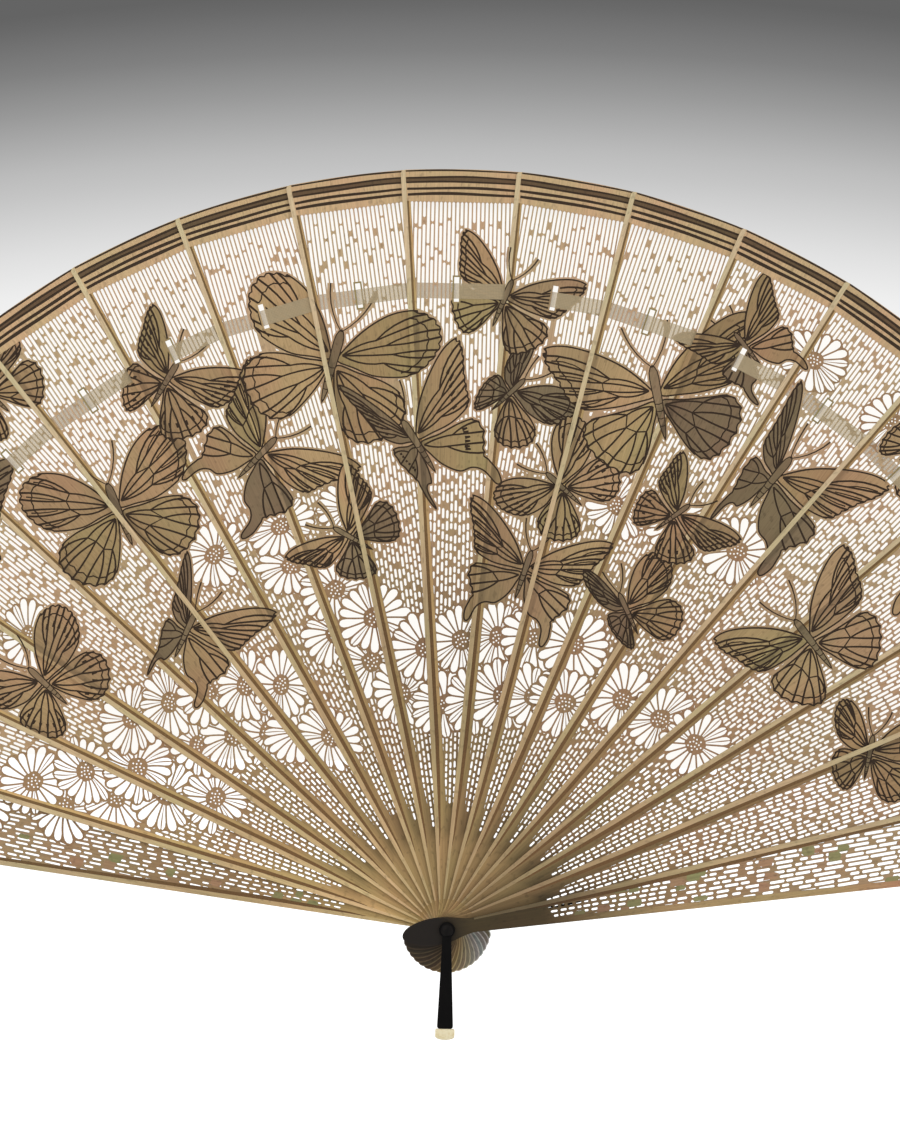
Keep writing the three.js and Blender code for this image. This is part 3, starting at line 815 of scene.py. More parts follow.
class Stick:
    """One stick of the fan: its drawing, its mesh and its place in the open fan."""

    # How deep each level lies below the stick's face, in millimetres.
    LEVELS = (0.0, 0.05, 0.11)
    # The band: where its dark zone starts and ends below the tip, and each groove's place below the
    # tip and width, in millimetres.
    ZONE = (2.3, 4.2)
    GROOVES = ((0.4, 0.7), (2.5, 0.8), (4.0, 0.8), (6.0, 1.1), (7.8, 1.2))
    # Slits are short low down and longer near the tip, and narrower low down.
    LOW_LENGTHS = ((1.2, 1.8), (2.4, 3.8))
    NARROWING = ((40, 110, 200), (0.3, 0.37, 0.43))
    TIES, LOW_TIES = (0.4, 0.6, 0.8, 1, 1, 1.5, 2.5, 3.5), (0.6, 1)
    # Painted light: factors of red, green, blue and alpha at the front guard and at the back guard,
    # which paint the left-hand sticks lighter and yellower and the right-hand ones darker.
    LIT_SIDE = ((0.94, 1.09), (0.91, 1.07), (0.9, 1.01), (1, 1))
    # How much darker the middle sticks are low down.
    DEEP = 0.25
    # The front guard's gorge and its border, by reach: dark near the rivet with painted shade, then
    # tan, then rose towards the tip.
    BORDER = ((30, "#3f331f"), (75, "#a98f67"), (122, "#a98f67"), (155, "#b07d63"))

    def __init__(self, number: int, node: str, body: str, sizes: StickSizes) -> None:
        """Starts a stick.

        Args:
            number: 0 for the front guard up to 18 for the back guard.
            node: the name of the CAD node that it stands for.
            body: the CAD body that it rides on.
            sizes: its sizes.
        """
        self.number = number
        self.node = node
        self.body = body
        self.sizes = sizes
        self.bearing = bearing_of(number)
        low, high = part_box(node)
        self.depth = (low[1] + high[1]) / 2
        self.dice = random.Random(1000 + number)

    def borders(self, drawing: Drawing) -> None:
        """Draws the outline, the bore, the head, the slot, the rib, its painted shade line and the
        lattice.
        """
        s = self.sizes
        outline = s.outline()
        drawing.add(Role.OUTLINE, outline)
        drawing.add(Role.BORE, round_of(28, s.bore))
        drawing.add(Role.HEAD, [(x, y) for x, y in outline if y < s.waist_high - 0.5])
        core = grown(outline, -s.head_rim)
        drawing.add(Role.CORE, [(x, y) for x, y in core if y < s.waist_high + 0.5])
        low, high, over = s.gorge, s.lattice_top, 1.0

        def wide(reach: float) -> float:
            """A half width that reaches past the stick's edge."""
            return s.half(reach) + over

        drawing.add(Role.DRAWN, [(-wide(low), low), (wide(low), low), (wide(high), high),
                                 (-wide(high), high)])
        reaches = (s.waist_high, 20.0, low - 5, low, 45.0, 60.0, high, REACH + over)
        rib = [(s.rib_at(reach) - s.half(reach), reach) for reach in reaches]
        line = [(x + s.shade_line_at(reach), reach) for x, reach in rib]
        drawing.add(Role.RIB, [*rib, *((-wide(reach), reach) for reach in reversed(reaches))])
        drawing.add(Role.LINE, [*line[2:7], *rib[6:1:-1]])
        right = [(s.half(reach) - s.right_border, reach) for reach in (low, high)]
        left = [(s.lapped(reach) - s.half(reach), reach) for reach in reaches[6:2:-1]]
        drawing.add(Role.LATTICE, right + left)
        if s.slotted:
            wide_half, tall_half = s.slot_half
            for role, grow in ((Role.SLOT, 0.0), (Role.FRAME, s.frame_wide)):
                w, h = wide_half + grow, tall_half + grow
                drawing.add(role, [(s.slot_across + x * w, s.slot_reach + y * h)
                                   for x, y in ((-1, -1), (1, -1), (1, 1), (-1, 1))])

    def band(self, drawing: Drawing) -> None:
        """Draws the tip's band: its dark zone, and grooves that wander a little."""
        s = self.sizes
        wide = s.half(REACH) + 1
        drawing.add(Role.BAND, [(-wide, s.lattice_top), (wide, s.lattice_top), (wide, REACH + 1),
                                (-wide, REACH + 1)])
        places = np.linspace(s.rib - s.half(REACH), s.half(REACH), 7)
        start, end = self.ZONE
        drawing.add(Role.ZONE, [*((x, s.top(x) - end) for x in places),
                                *((x, s.top(x) - start) for x in places[::-1])])
        middle_stick = (STICKS - 1) / 2
        bold = between(0.85, 1.2, abs(self.number - middle_stick) / middle_stick)
        for below, wide in self.GROOVES:
            wide *= bold
            half = s.half(REACH - below)
            left = -half + s.rib + self.dice.uniform(0.1, 0.4)
            right = half - self.dice.uniform(0.3, 0.8)
            swing, phase = self.dice.uniform(0.05, 0.15), self.dice.uniform(0, 6)
            line = [(x, s.top(x) - below + swing * math.sin(phase + x / 5))
                    for x in np.linspace(left, right, 11)]
            middle = len(line) // 2 + self.dice.choice((-3, -2, 2, 3))
            for ring in (*stroke(line[:middle + 1], wide * 0.8, wide),
                         *stroke(line[middle:], wide, wide * 0.75)):
                drawing.add(Role.GROOVE, ring)

    def slits(self, drawing: Drawing) -> None:
        """Draws the slits, spindles in columns down from the band, with ties between them."""
        s = self.sizes
        columns = int(s.half(s.lattice_top) / s.slit_pitch)
        top_lengths = next(lengths for last, *lengths in SLITS if self.number <= last)
        knots = (40, 140 if s.slotted else 80, 205)
        rings = []
        for column in range(-columns, columns + 1):
            x = column * s.slit_pitch
            high = s.lattice_top
            share = self.dice.uniform(0.8, 1.2) * (0.5 if column % 2 else 1.0)
            foot = s.gorge + self.dice.uniform(0, 7 if s.slotted else 2)
            while high > foot + 2:
                lengths = (float(np.interp(high, knots, (*low_down, near_top)))
                           for low_down, near_top in zip(self.LOW_LENGTHS, top_lengths))
                long = share * self.dice.uniform(*lengths)
                share = 1.0
                low = max(high - long, foot)
                half = s.slit_width * float(np.interp(high, *self.NARROWING))
                taper = min(0.4, 0.15 * (high - low))
                if abs(x) < s.half(high):
                    rings.append([(x, low), (x + half, low + taper), (x + half, high - taper),
                                  (x, high), (x - half, high - taper), (x - half, low + taper)])
                high = low - s.tie * self.dice.choice(self.TIES if low > 70 else self.LOW_TIES)
        hidden = drawing.covered({Role.WING, Role.DISC}, np.array(rings).reshape(-1, 2))
        for ring, lost in zip(rings, hidden.reshape(-1, 6)):
            if not lost.all():
                drawing.add(Role.SLIT, ring)

    def patches(self, drawing: Drawing) -> None:
        """Draws the solid stained patches that stand among a guard's slits."""
        s = self.sizes
        for _ in range(s.patches):
            reach = between(s.gorge + 4, s.lattice_top - 4, self.dice.random())
            across = self.dice.uniform(-0.9, 0.9) * s.half(reach)
            half = s.slit_pitch * self.dice.choice((0.5, 0.75, 1))
            tall, lean = self.dice.uniform(1.5, 4), self.dice.uniform(-1, 1)
            corners = ((-1, 0), (0.4, -0.5), (1, lean), (1, tall), (-0.3, tall + 0.6),
                       (-1, tall + lean))
            drawing.add(self.dice.choice((Role.OLIVE, Role.ROSE)),
                        [(across + half * aside, reach + up) for aside, up in corners])

    def draw(self) -> Drawing:
        """Makes the stick's whole drawing."""
        drawing = Drawing(self.sizes, self.number % 3 == 1)
        self.borders(drawing)
        self.band(drawing)
        for number, daisy in enumerate(daisies()):
            daisy.draw(drawing, self.number, number)
        for number, butterfly in enumerate(BUTTERFLIES):
            butterfly.draw(drawing, self.number, number)
        self.patches(drawing)
        self.slits(drawing)
        return drawing

    def colours(self, spots: np.ndarray, kinds: np.ndarray) -> np.ndarray:
        """Works out the stain at corners of the mesh, painted light and shade included. Its alpha
        is 0 on wings and 1 elsewhere.

        Args:
            spots: the corner's place on the stick, one in each row.
            kinds: the number of the kind of its face.

        Returns:
            Linear colours, one in each row.
        """
        across, up = spots.T
        high = eased(up, 60, 200)
        wings = are(kinds, *WINGS)
        share = self.number / (STICKS - 1)
        # Painted light by the stick's place: lighter on the left, darker on the right.
        even = np.array([between(*ends, share) * self.sizes.shade for ends in self.LIT_SIDE])
        tone = self.dice.uniform(0.85, 1.15)
        hue = np.array([*(tone * self.dice.uniform(0.97, 1.03) for _ in range(3)), 1.0])
        stain = LOW_STAIN[kinds] * (1 - high) + HIGH_STAIN[kinds] * high
        stain *= np.where(wings, hue, even)
        deep = self.DEEP * math.exp(-((share - 0.5) / 0.14) ** 2)
        stain[:, :3] *= 1 - deep * (eased(up, 45, 60) * eased(up, 130, 100))
        # Painted shade across the gorge: each stick darkens towards its right edge, where the next
        # stick lies over it, the more so on the right-hand sticks, and the gorge is painted lighter
        # on the left-hand sticks than on the right.
        slope = math.tan(math.radians(self.sizes.spread))
        edge = across + self.sizes.root_half + up.clip(0) * slope
        side = (edge / (0.153 * up.clip(9))).clip(0, 1)[:, None]
        dark = between(0.88, 0.6, share) * side ** between(0.45, 1, share)
        lit_gorge = even * between(0.84, 1.24, share) * self.dice.uniform(0.9, 1.12)
        gorge = np.array(linear(Kind.GORGE.value[1])) * lit_gorge * (1 - dark)
        # Painted light on the ribs near the rivet: lighter on the left-hand sticks, darker on the
        # right-hand ones.
        stain *= 1 + (between(0.62, 1.3, share) - 1) * (are(kinds, Kind.RIB) * eased(up, 75, 30))
        # The front guard is painted darker towards the rivet, painted shade for its thick horn with
        # the light behind it.
        if self.number == 0:
            stain *= 0.45 + 0.55 * eased(up, 30, 75)
            reaches, shades = zip(*self.BORDER)
            border = np.array([linear(shade) for shade in shades])
            gorge = np.stack([np.interp(up, reaches, channel) for channel in border.T], 1)
        # Near the rivet the lattice takes on the gorge's colour, its painted shade included.
        near = np.maximum(eased(up, 70, 31) * are(kinds, Kind.FIELD), are(kinds, Kind.GORGE))
        stain = gorge * near + stain * (1 - near)
        # The heads take painted shade, a painted reflection and a rim highlight from the table of
        # heads, blended in from the gorge's colour towards the rivet.
        low = eased(up, 8, -2)
        numbers, *head_light = zip(*PAINTED_HEAD_LIGHT)
        for kind, shades in zip((Kind.HEAD, Kind.EDGE), head_light):
            tones = np.array([linear(shade) for shade in shades])
            shade = np.array([np.interp(self.number, numbers, channel) for channel in tones.T])
            stain = np.where(are(kinds, kind), gorge * (1 - low) + shade * low, stain)
        stain[:, 3] = np.where(wings[:, 0], 0.0, 1.0)
        return stain

    def raised(self, corners: np.ndarray, kinds: np.ndarray
               ) -> tuple[np.ndarray, list[list[int]], np.ndarray]:
        """Gives the drawing its thickness.

        Args:
            corners: the corners of each solid triangle.
            kinds: the number of the kind of each.

        Returns:
            The flat point and level of each vertex, the faces, and the kind of each face.
        """
        level_of = [kind.level for kind in KINDS]
        back = len(self.LEVELS)
        beside: dict[tuple[int, int], int] = {}
        used: dict[int, set[int]] = {}
        for index, face in enumerate(corners.tolist()):
            level = level_of[kinds[index]]
            for a, b in zip(face, face[1:] + face[:1]):
                beside[(a, b)] = index
                used.setdefault(a, {back}).add(level)
        vertices: dict[tuple[int, int], int] = {}

        def vertex(spot: int, level: int) -> int:
            """The number of a vertex at a point and level, made when it is first asked for."""
            return vertices.setdefault((spot, level), len(vertices))

        faces: list[list[int]] = []
        made: list[int] = []
        for index, face in enumerate(corners.tolist()):
            kind = kinds[index]
            level = level_of[kind]
            faces.append([vertex(spot, level) for spot in face])
            faces.append([vertex(spot, back) for spot in reversed(face)])
            made += [kind, kind]
            for a, b in zip(face, face[1:] + face[:1]):
                other = beside.get((b, a))
                deep = back if other is None else level_of[kinds[other]]
                if deep > level:
                    down = [vertex(a, step) for step in sorted(used[a]) if level <= step <= deep]
                    rise = [vertex(b, step) for step in sorted(used[b], reverse=True)
                            if level <= step <= deep]
                    faces.append(down + rise)
                    made.append(kind)
        keys = np.array(list(vertices))
        return keys, faces, np.array(made)

    def build(self, horn: bpy.types.Material, scorch_and_shade: bpy.types.Material) -> bpy.types.Object:
        """Makes the stick's object and puts it in the CAD node's place.

        Args:
            horn: the material of the body.
            scorch_and_shade: the material of the dark lines.

        Returns:
            The object.
        """
        spots, corners, kinds = self.draw().solve()
        keys, faces, made = self.raised(corners, kinds)
        flat = spots[keys[:, 0]]
        thick = self.sizes.thick(flat[:, 1])
        front = np.array([*self.LEVELS, 0.0])[keys[:, 1]]
        depth = np.where(keys[:, 1] == len(self.LEVELS), thick / 2, front - thick / 2)
        cos, sin = math.cos(self.bearing), math.sin(self.bearing)
        place = np.stack([flat[:, 0] * cos + flat[:, 1] * sin, depth,
                          flat[:, 1] * cos - flat[:, 0] * sin], 1) * MM
        place[:, 1] += self.depth
        mesh = bpy.data.meshes.new(f"{self.node}_pierced")
        mesh.from_pydata(place.tolist(), [], faces)
        sizes = np.array([len(face) for face in faces])
        at = np.concatenate([np.array(face) for face in faces])
        stain = mesh.attributes.new("stain", "FLOAT_COLOR", "CORNER")
        tones = self.colours(flat[at], np.repeat(made, sizes))
        stain.data.foreach_set("color", tones.astype(np.float32).ravel())
        edge = mesh.attributes.new("edge", "FLOAT", "CORNER")
        across, up = flat[at].T
        edge.data.foreach_set("value", (across + self.sizes.half(up)).astype(np.float32))
        grain = mesh.uv_layers.new(name="Grain")
        along = flat[at] + np.array([60.0 * self.number, 0.0])
        grain.data.foreach_set("uv", along.astype(np.float32).ravel())
        mesh.materials.append(horn)
        mesh.materials.append(scorch_and_shade)
        # Engraved lines, grooves and the painted shade line beside the rib take the dark material
        # on their front.
        is_dark = are(made, Kind.INK, Kind.GROOVE, Kind.LINE)[:, 0]
        faces_back = np.array([keys[face[0], 1] == len(self.LEVELS)
                               and keys[face[1], 1] == len(self.LEVELS) for face in faces])
        mesh.polygons.foreach_set("material_index", (is_dark & ~faces_back).astype(np.int32))
        mesh.validate()
        mesh.update()
        piece = bpy.data.objects.new(f"{self.node}_pierced", mesh)
        bpy.context.scene.collection.objects.link(piece)
        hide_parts(self.node)
        return piece


def connect(tree: bpy.types.NodeTree, node: bpy.types.Node, links: dict) -> None:
    """Gives each input of a node, by name or number, its value or another node's output."""
    for socket, value in links.items():
        if isinstance(value, bpy.types.NodeSocket):
            tree.links.new(value, node.inputs[socket])
        else:
            node.inputs[socket].default_value = value


def add_node(tree: bpy.types.NodeTree, kind: str, links: dict | None = None,
             **settings: object) -> bpy.types.Node:
    """Adds a shader node.

    Args:
        tree: the material's or the world's nodes.
        kind: Blender's name of the node.
        links: what each input gets, a value or another node's output, by name or number.
        settings: the node's own settings.

    Returns:
        The node.
    """
    node = tree.nodes.new(kind)
    for name, value in settings.items():
        setattr(node, name, value)
    connect(tree, node, links or {})
    return node


def computed(tree: bpy.types.NodeTree, operation: str, *values: object) -> bpy.types.NodeSocket:
    """The result of a sum on values or other nodes' outputs."""
    return add_node(tree, "ShaderNodeMath", dict(enumerate(values)), operation=operation).outputs[0]


def ranged(tree: bpy.types.NodeTree, value: bpy.types.NodeSocket, *ends: object
           ) -> bpy.types.NodeSocket:
    """A value carried from one range to another, each given by its low and its high end."""
    names = ("From Min", "From Max", "To Min", "To Max")
    links = {"Value": value, **dict(zip(names, ends))}
    return add_node(tree, "ShaderNodeMapRange", links).outputs["Result"]


def mixed(tree: bpy.types.NodeTree, factor: bpy.types.NodeSocket, *colours: object
          ) -> bpy.types.NodeSocket:
    """The first colour where a factor is 0, the second where it is 1."""
    links = {0: factor, 6: colours[0], 7: colours[1]}
    return add_node(tree, "ShaderNodeMix", links, data_type="RGBA").outputs[2]


def product(tree: bpy.types.NodeTree, body: object, *factors: object) -> bpy.types.NodeSocket:
    """A colour times one factor after another."""
    for factor in factors:
        body = add_node(tree, "ShaderNodeVectorMath", {0: body, 1: factor},
                        operation="MULTIPLY").outputs["Vector"]
    return body


def noise(tree: bpy.types.NodeTree, place: bpy.types.NodeSocket, scale: float, detail: float
          ) -> bpy.types.NodeSocket:
    """Noise of a scale and detail."""
    links = {"Vector": place, "Scale": scale, "Detail": detail}
    return add_node(tree, "ShaderNodeTexNoise", links).outputs["Fac"]


def relief(tree: bpy.types.NodeTree, height: bpy.types.NodeSocket, strength: float, depth: float
           ) -> bpy.types.NodeSocket:
    """The normal of a fine relief, its depth in millimetres."""
    links = {"Height": height, "Strength": strength, "Distance": depth * MM}
    return add_node(tree, "ShaderNodeBump", links).outputs["Normal"]


def graded(tree: bpy.types.NodeTree, value: bpy.types.NodeSocket, stops: list[tuple[float, Colour]]
           ) -> bpy.types.NodeSocket:
    """A colour that runs through stops, each a place and a colour."""
    ramp = add_node(tree, "ShaderNodeValToRGB", {"Fac": value})
    while len(ramp.color_ramp.elements) < len(stops):
        ramp.color_ramp.elements.new(0.5)
    for element, (place, colour) in zip(ramp.color_ramp.elements, stops):
        element.position = place
        element.color = colour
    return ramp.outputs["Color"]


def new_material(name: str) -> tuple[bpy.types.Material, bpy.types.NodeTree, bpy.types.Node]:
    """Starts a material and returns it with its nodes and its main shader."""
    material = bpy.data.materials.new(name)
    material.use_nodes = True
    return material, material.node_tree, material.node_tree.nodes["Principled BSDF"]


@dataclass(frozen=True)
class PolishedHorn:
    """Cow horn, pressed flat, scraped and polished: a soft low gloss, streaked along the stick, in
    clouds of rose and olive. Lengths are in millimetres."""

    streak_wide: float = 0.45
    streak_long: float = 14.0
    cloud: float = 16.0
    knot: float = 1.3
    olive: Colour = (0.97, 1.01, 0.95, 1.0)
    rose: Colour = (1.03, 0.97, 0.96, 1.0)
    # How light a wing is, painted light and shade by the distance from the stick's left edge: a
    # painted highlight along the edge, then painted shade on the strip that is doubled by the stick
    # behind, then the single layer.
    strip: tuple[Point, ...] = ((1.2, 1.15), (1.5, 0.64), (2.8, 0.64), (3.4, 0.88), (14.0, 1.06))
    strip_end: float = 20.0

    def make(self) -> bpy.types.Material:
        """Makes the material: stained body, clouds of rose and olive, dark knots, fine streaks, and
        painted light and shade on the wings near the stick's left edge.
        """
        material, tree, shader = new_material("polished horn")
        stain = add_node(tree, "ShaderNodeAttribute", attribute_name="stain")
        place = add_node(tree, "ShaderNodeUVMap", uv_map="Grain").outputs["UV"]

        def grain(wide: float, long: float, detail: float) -> bpy.types.NodeSocket:
            """Noise of a size across and along the stick."""
            at = add_node(tree, "ShaderNodeMapping", {"Vector": place,
                                                      "Scale": (1 / wide, 1 / long, 1)})
            return noise(tree, at.outputs["Vector"], 1.0, detail)

        streak = grain(self.streak_wide, self.streak_long, 3.0)
        clouds = ranged(tree, grain(self.cloud, self.cloud * 1.6, 2.0), 0.4, 0.6, 0, 1)
        knots = ranged(tree, grain(self.knot, self.knot * 1.8, 1.0), 0.6, 0.7, 1, 0.78)
        edge = add_node(tree, "ShaderNodeAttribute", attribute_name="edge").outputs["Fac"]
        # A colour can't be above 1, so the strip's light is halved here and doubled at the end.
        light = graded(tree, ranged(tree, edge, 0, self.strip_end, 0, 1),
                       [(distance / self.strip_end, (light / 2, light / 2, light / 2, 1))
                        for distance, light in self.strip])
        # Only the wings take the painted light and shade of the strip.
        wing = computed(tree, "SUBTRACT", 1.0, stain.outputs["Alpha"])
        wing_painted_light = mixed(tree, wing, (0.5, 0.5, 0.5, 1), light)
        body = product(tree, stain.outputs["Color"], mixed(tree, clouds, self.olive, self.rose),
                       ranged(tree, streak, 0.3, 0.7, 0.84, 1.12), knots, wing_painted_light, (2.0, 2.0, 2.0))
        connect(tree, shader, {"Base Color": body, "Normal": relief(tree, streak, 0.25, 0.03),
                               "Roughness": ranged(tree, streak, 0, 1, 0.4, 0.56), "IOR": 1.55,
                               "Specular IOR Level": 0.15})
        return material


@dataclass(frozen=True)
class ScorchedLineAndShade:
    """Lines burnt and inked into the horn: matt, with a fine uneven edge to their darkness. The
    same material paints the shade line beside the rib.
    """

    def make(self) -> bpy.types.Material:
        """Makes the material: the stain's own dark colour, broken by fine grain."""
        material, tree, shader = new_material("scorched engraving and painted shade")
        stain = add_node(tree, "ShaderNodeAttribute", attribute_name="stain").outputs["Color"]
        place = add_node(tree, "ShaderNodeUVMap", uv_map="Grain").outputs["UV"]
        grain = noise(tree, place, 1.6, 3.0)
        body = product(tree, stain, ranged(tree, grain, 0, 1, 0.7, 1.5))
        connect(tree, shader, {"Base Color": body, "Normal": relief(tree, grain, 0.3, 0.04),
                               "Roughness": 0.7, "Specular IOR Level": 0.2})
        return material


@dataclass(frozen=True)
class WovenSilk:
    """Narrow silk ribbon: thin enough to see through, with a soft sheen along its threads."""

    thread: float = 0.5
    colour: str = "#c0ac86"

    def make(self) -> bpy.types.Material:
        """Makes the material, its threads drawn coarser than the real 0.1 mm, so as to show."""
        material, tree, shader = new_material("woven silk")
        place = add_node(tree, "ShaderNodeUVMap", uv_map="Grain").outputs["UV"]
        links = {"Vector": place, "Scale": 0.314 / self.thread, "Distortion": 0.6}
        threads = (add_node(tree, "ShaderNodeTexWave", links, bands_direction=way).outputs["Fac"]
                   for way in "XY")
        weave = computed(tree, "ADD", *threads)
        body = product(tree, linear(self.colour)[:3], ranged(tree, weave, 0, 2, 0.86, 1.06))
        connect(tree, shader, {"Base Color": body, "Normal": relief(tree, weave, 0.3, 0.03),
                               "Roughness": 0.55, "Sheen Weight": 0.25, "Alpha": 0.5})
        return material


@dataclass(frozen=True)
class Worn:
    """A hard dark or pale finish with a fine uneven gloss: steel, lacquer or bone. Grit is the size
    of its clouds in millimetres."""

    name: str
    colour: str
    worn: str
    roughness: float
    metallic: float
    grit: float
    specular: float = 0.5

    def make(self) -> bpy.types.Material:
        """Makes the material: small clouds of a second tone, and roughness that follows them."""
        material, tree, shader = new_material(self.name)
        place = add_node(tree, "ShaderNodeTexCoord").outputs["Object"]
        cloud = noise(tree, place, 1 / (self.grit * MM), 4.0)
        tone = ranged(tree, cloud, 0.45, 0.75, 0, 1)
        gloss = ranged(tree, cloud, 0, 1, self.roughness - 0.08, self.roughness + 0.12)
        body = mixed(tree, tone, linear(self.colour), linear(self.worn))
        connect(tree, shader, {"Base Color": body, "Roughness": gloss,
                               "Normal": relief(tree, cloud, 0.2, 0.03), "Metallic": self.metallic,
                               "Specular IOR Level": self.specular})
        return material


# Browned steel: nearly black, a soft glint on its edges.
BROWNED_STEEL = Worn("browned steel", "#0b0908", "#171310", roughness=0.5, metallic=0.2, grit=0.9,
                     specular=0.1)
# Black lacquer: deep and even, with hardly a glint.
BLACK_LACQUER = Worn("black lacquer", "#040303", "#080706", roughness=0.45, metallic=0.0, grit=1.6,
                     specular=0.06)
# Turned bone: cream, matt, with faint pores.
TURNED_BONE = Worn("turned bone", "#e6dab6", "#d6c493", roughness=0.5, metallic=0.0, grit=0.7)


def pick(test: Callable[[Vector], bool]) -> None:
    """Selects in edit mode exactly the vertices that pass a test, and what lies between them."""
    bpy.ops.mesh.select_all(action="DESELECT")
    shape = bmesh.from_edit_mesh(bpy.context.edit_object.data)
    for vertex in shape.verts:
        vertex.select_set(test(vertex.co))
    shape.select_flush_mode()
    bmesh.update_edit_mesh(bpy.context.edit_object.data)


def start_circle(sides: int, radius: float, depth: float, fill: str) -> None:
    """Adds a circle about the rivet's axis and opens it in edit mode, all selected.

    Args:
        sides: its number of sides.
        radius: its radius in millimetres.
        depth: its place along the axis in millimetres.
        fill: Blender's name of the fill.
    """
    bpy.ops.object.select_all(action="DESELECT")
    bpy.ops.mesh.primitive_circle_add(vertices=sides, radius=radius * MM, fill_type=fill,
                                      location=(0, depth * MM, 0), rotation=(math.pi / 2, 0, 0))
    bpy.ops.object.transform_apply(location=True, rotation=True, scale=True)
    bpy.ops.object.mode_set(mode="EDIT")
    bpy.ops.mesh.select_all(action="SELECT")


def close_up(name: str, material: bpy.types.Material, angle: float = 35.0) -> bpy.types.Object:
    """Ends the edit, turns the faces outwards and names and dresses the piece.

    Args:
        name: the piece's name.
        material: its material.
        angle: edges flatter than this many degrees are smooth.

    Returns:
        The piece.
    """
    if bpy.context.mode == "EDIT_MESH":
        bpy.ops.object.mode_set(mode="OBJECT")
    bpy.ops.object.mode_set(mode="EDIT")
    bpy.ops.mesh.select_all(action="SELECT")
    bpy.ops.mesh.remove_doubles(threshold=1e-7)
    bpy.ops.mesh.normals_make_consistent(inside=False)
    bpy.ops.object.mode_set(mode="OBJECT")
    bpy.ops.object.shade_smooth_by_angle(angle=math.radians(angle))
    piece = bpy.context.object
    piece.name = piece.data.name = name
    piece.data.materials.append(material)
    return piece


def thicken(thick: float, bevel: float) -> None:
    """Gives the active flat piece its thickness and rounds its edges.

    Args:
        thick: the thickness in millimetres, half to each side.
        bevel: the width of the rounding in millimetres.
    """
    wall = bpy.context.object.modifiers.new("wall", "SOLIDIFY")
    wall.thickness = thick * MM
    wall.offset = 0
    bpy.ops.object.modifier_apply(modifier=wall.name)
    if bevel:
        edge = bpy.context.object.modifiers.new("edge", "BEVEL")
        edge.width = bevel * MM
        edge.segments = 3
        edge.limit_method = "ANGLE"
        bpy.ops.object.modifier_apply(modifier=edge.name)


@dataclass
class Ribbon:
    """The silk ribbon: one stretch on each blade and an end on each guard, in millimetres."""

    reach: float = 201.5
    wide: float = 4.9
    thick: float = 0.08
    lift: float = 0.06
    inset: float = 0.5
    lap: float = 6.0
    slot: float = -1.2
    back_end: float = -16.4
    crossing: float = 0.5

    def strip(self, name: str, line: Ring, material: bpy.types.Material) -> bpy.types.Object:
        """Models one stretch as a strip that follows a line of across and depth pairs.

        Args:
            name: the piece's name.
            line: its middle line.
            material: the silk.

        Returns:
            The piece, still upright at the middle of the stack.
        """
        (left, depth), (right, _) = line[:2]
        bpy.ops.object.select_all(action="DESELECT")
        bpy.ops.mesh.primitive_plane_add(size=1, rotation=(math.pi / 2, 0, 0), location=(
            (left + right) / 2 * MM, depth * MM, self.reach * MM))
        bpy.context.object.scale = ((right - left) * MM, self.wide * MM, 1)
        bpy.ops.object.transform_apply(location=True, rotation=True, scale=True)
        bpy.ops.object.mode_set(mode="EDIT")
        for (x, y), (next_x, next_y) in zip(line[1:], line[2:]):
            pick(lambda co, edge=x: abs(co.x - edge * MM) < 1e-6)
            bpy.ops.mesh.extrude_edges_move(TRANSFORM_OT_translate={
                "value": ((next_x - x) * MM, (next_y - y) * MM, 0)})
        bpy.ops.mesh.select_all(action="SELECT")
        bpy.ops.mesh.subdivide(number_cuts=3)
        bpy.ops.object.mode_set(mode="OBJECT")
        thicken(self.thick, 0)
        piece = close_up(name, material)
        grain = piece.data.uv_layers.active or piece.data.uv_layers.new()
        grain.name = "Grain"
        for corner in piece.data.loops:
            co = piece.data.vertices[corner.vertex_index].co
            grain.data[corner.index].uv = (co.x / MM, co.z / MM)
        return piece

    def build(self, sticks: list[Stick], material: bpy.types.Material) -> None:
        """Builds every stretch and puts it on its stick.

        Args:
            sticks: the sticks from the front guard to the back guard.
            material: the silk.
        """
        off = self.lift + self.thick / 2
        face = float(BLADE.thick(np.array(self.reach - self.wide / 2))) / 2 + off
        edge = BLADE.half(self.reach) - self.inset
        threaded = self.strip("ribbon", [
            (self.back_end, face), (self.slot - self.crossing, face),
            (self.slot + self.crossing, -face), (edge, -face)], material)
        rim = FRONT_GUARD.half(self.reach) - self.inset
        deep = FRONT_GUARD.head_thick / 2 + off
        front = self.strip("ribbon_end", [(-rim, deep), (self.lap, deep)], material)
        back = self.strip("ribbon_end", [(-self.lap, -deep), (rim, -deep)], material)
        for stick in sticks:
            node, source = f"ribbon_{stick.number:02d}", threaded
            if stick.number == 0:
                node, source = "ribbon_end_front", front
            elif stick.number == STICKS - 1:
                node, source = "ribbon_end_back", back
            piece = source.copy()
            piece.data = source.data.copy()
            piece.name = piece.data.name = f"{node}_silk"
            piece.data.transform(Matrix.Translation((0, stick.depth, 0))
                                 @ Matrix.Rotation(stick.bearing, 4, "Y"))
            bpy.context.scene.collection.objects.link(piece)
            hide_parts(node)
            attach(piece, stick.body)
        for source in (threaded, front, back):
            bpy.data.objects.remove(source)
        log.info("ribbon: %d stretches", len(sticks))


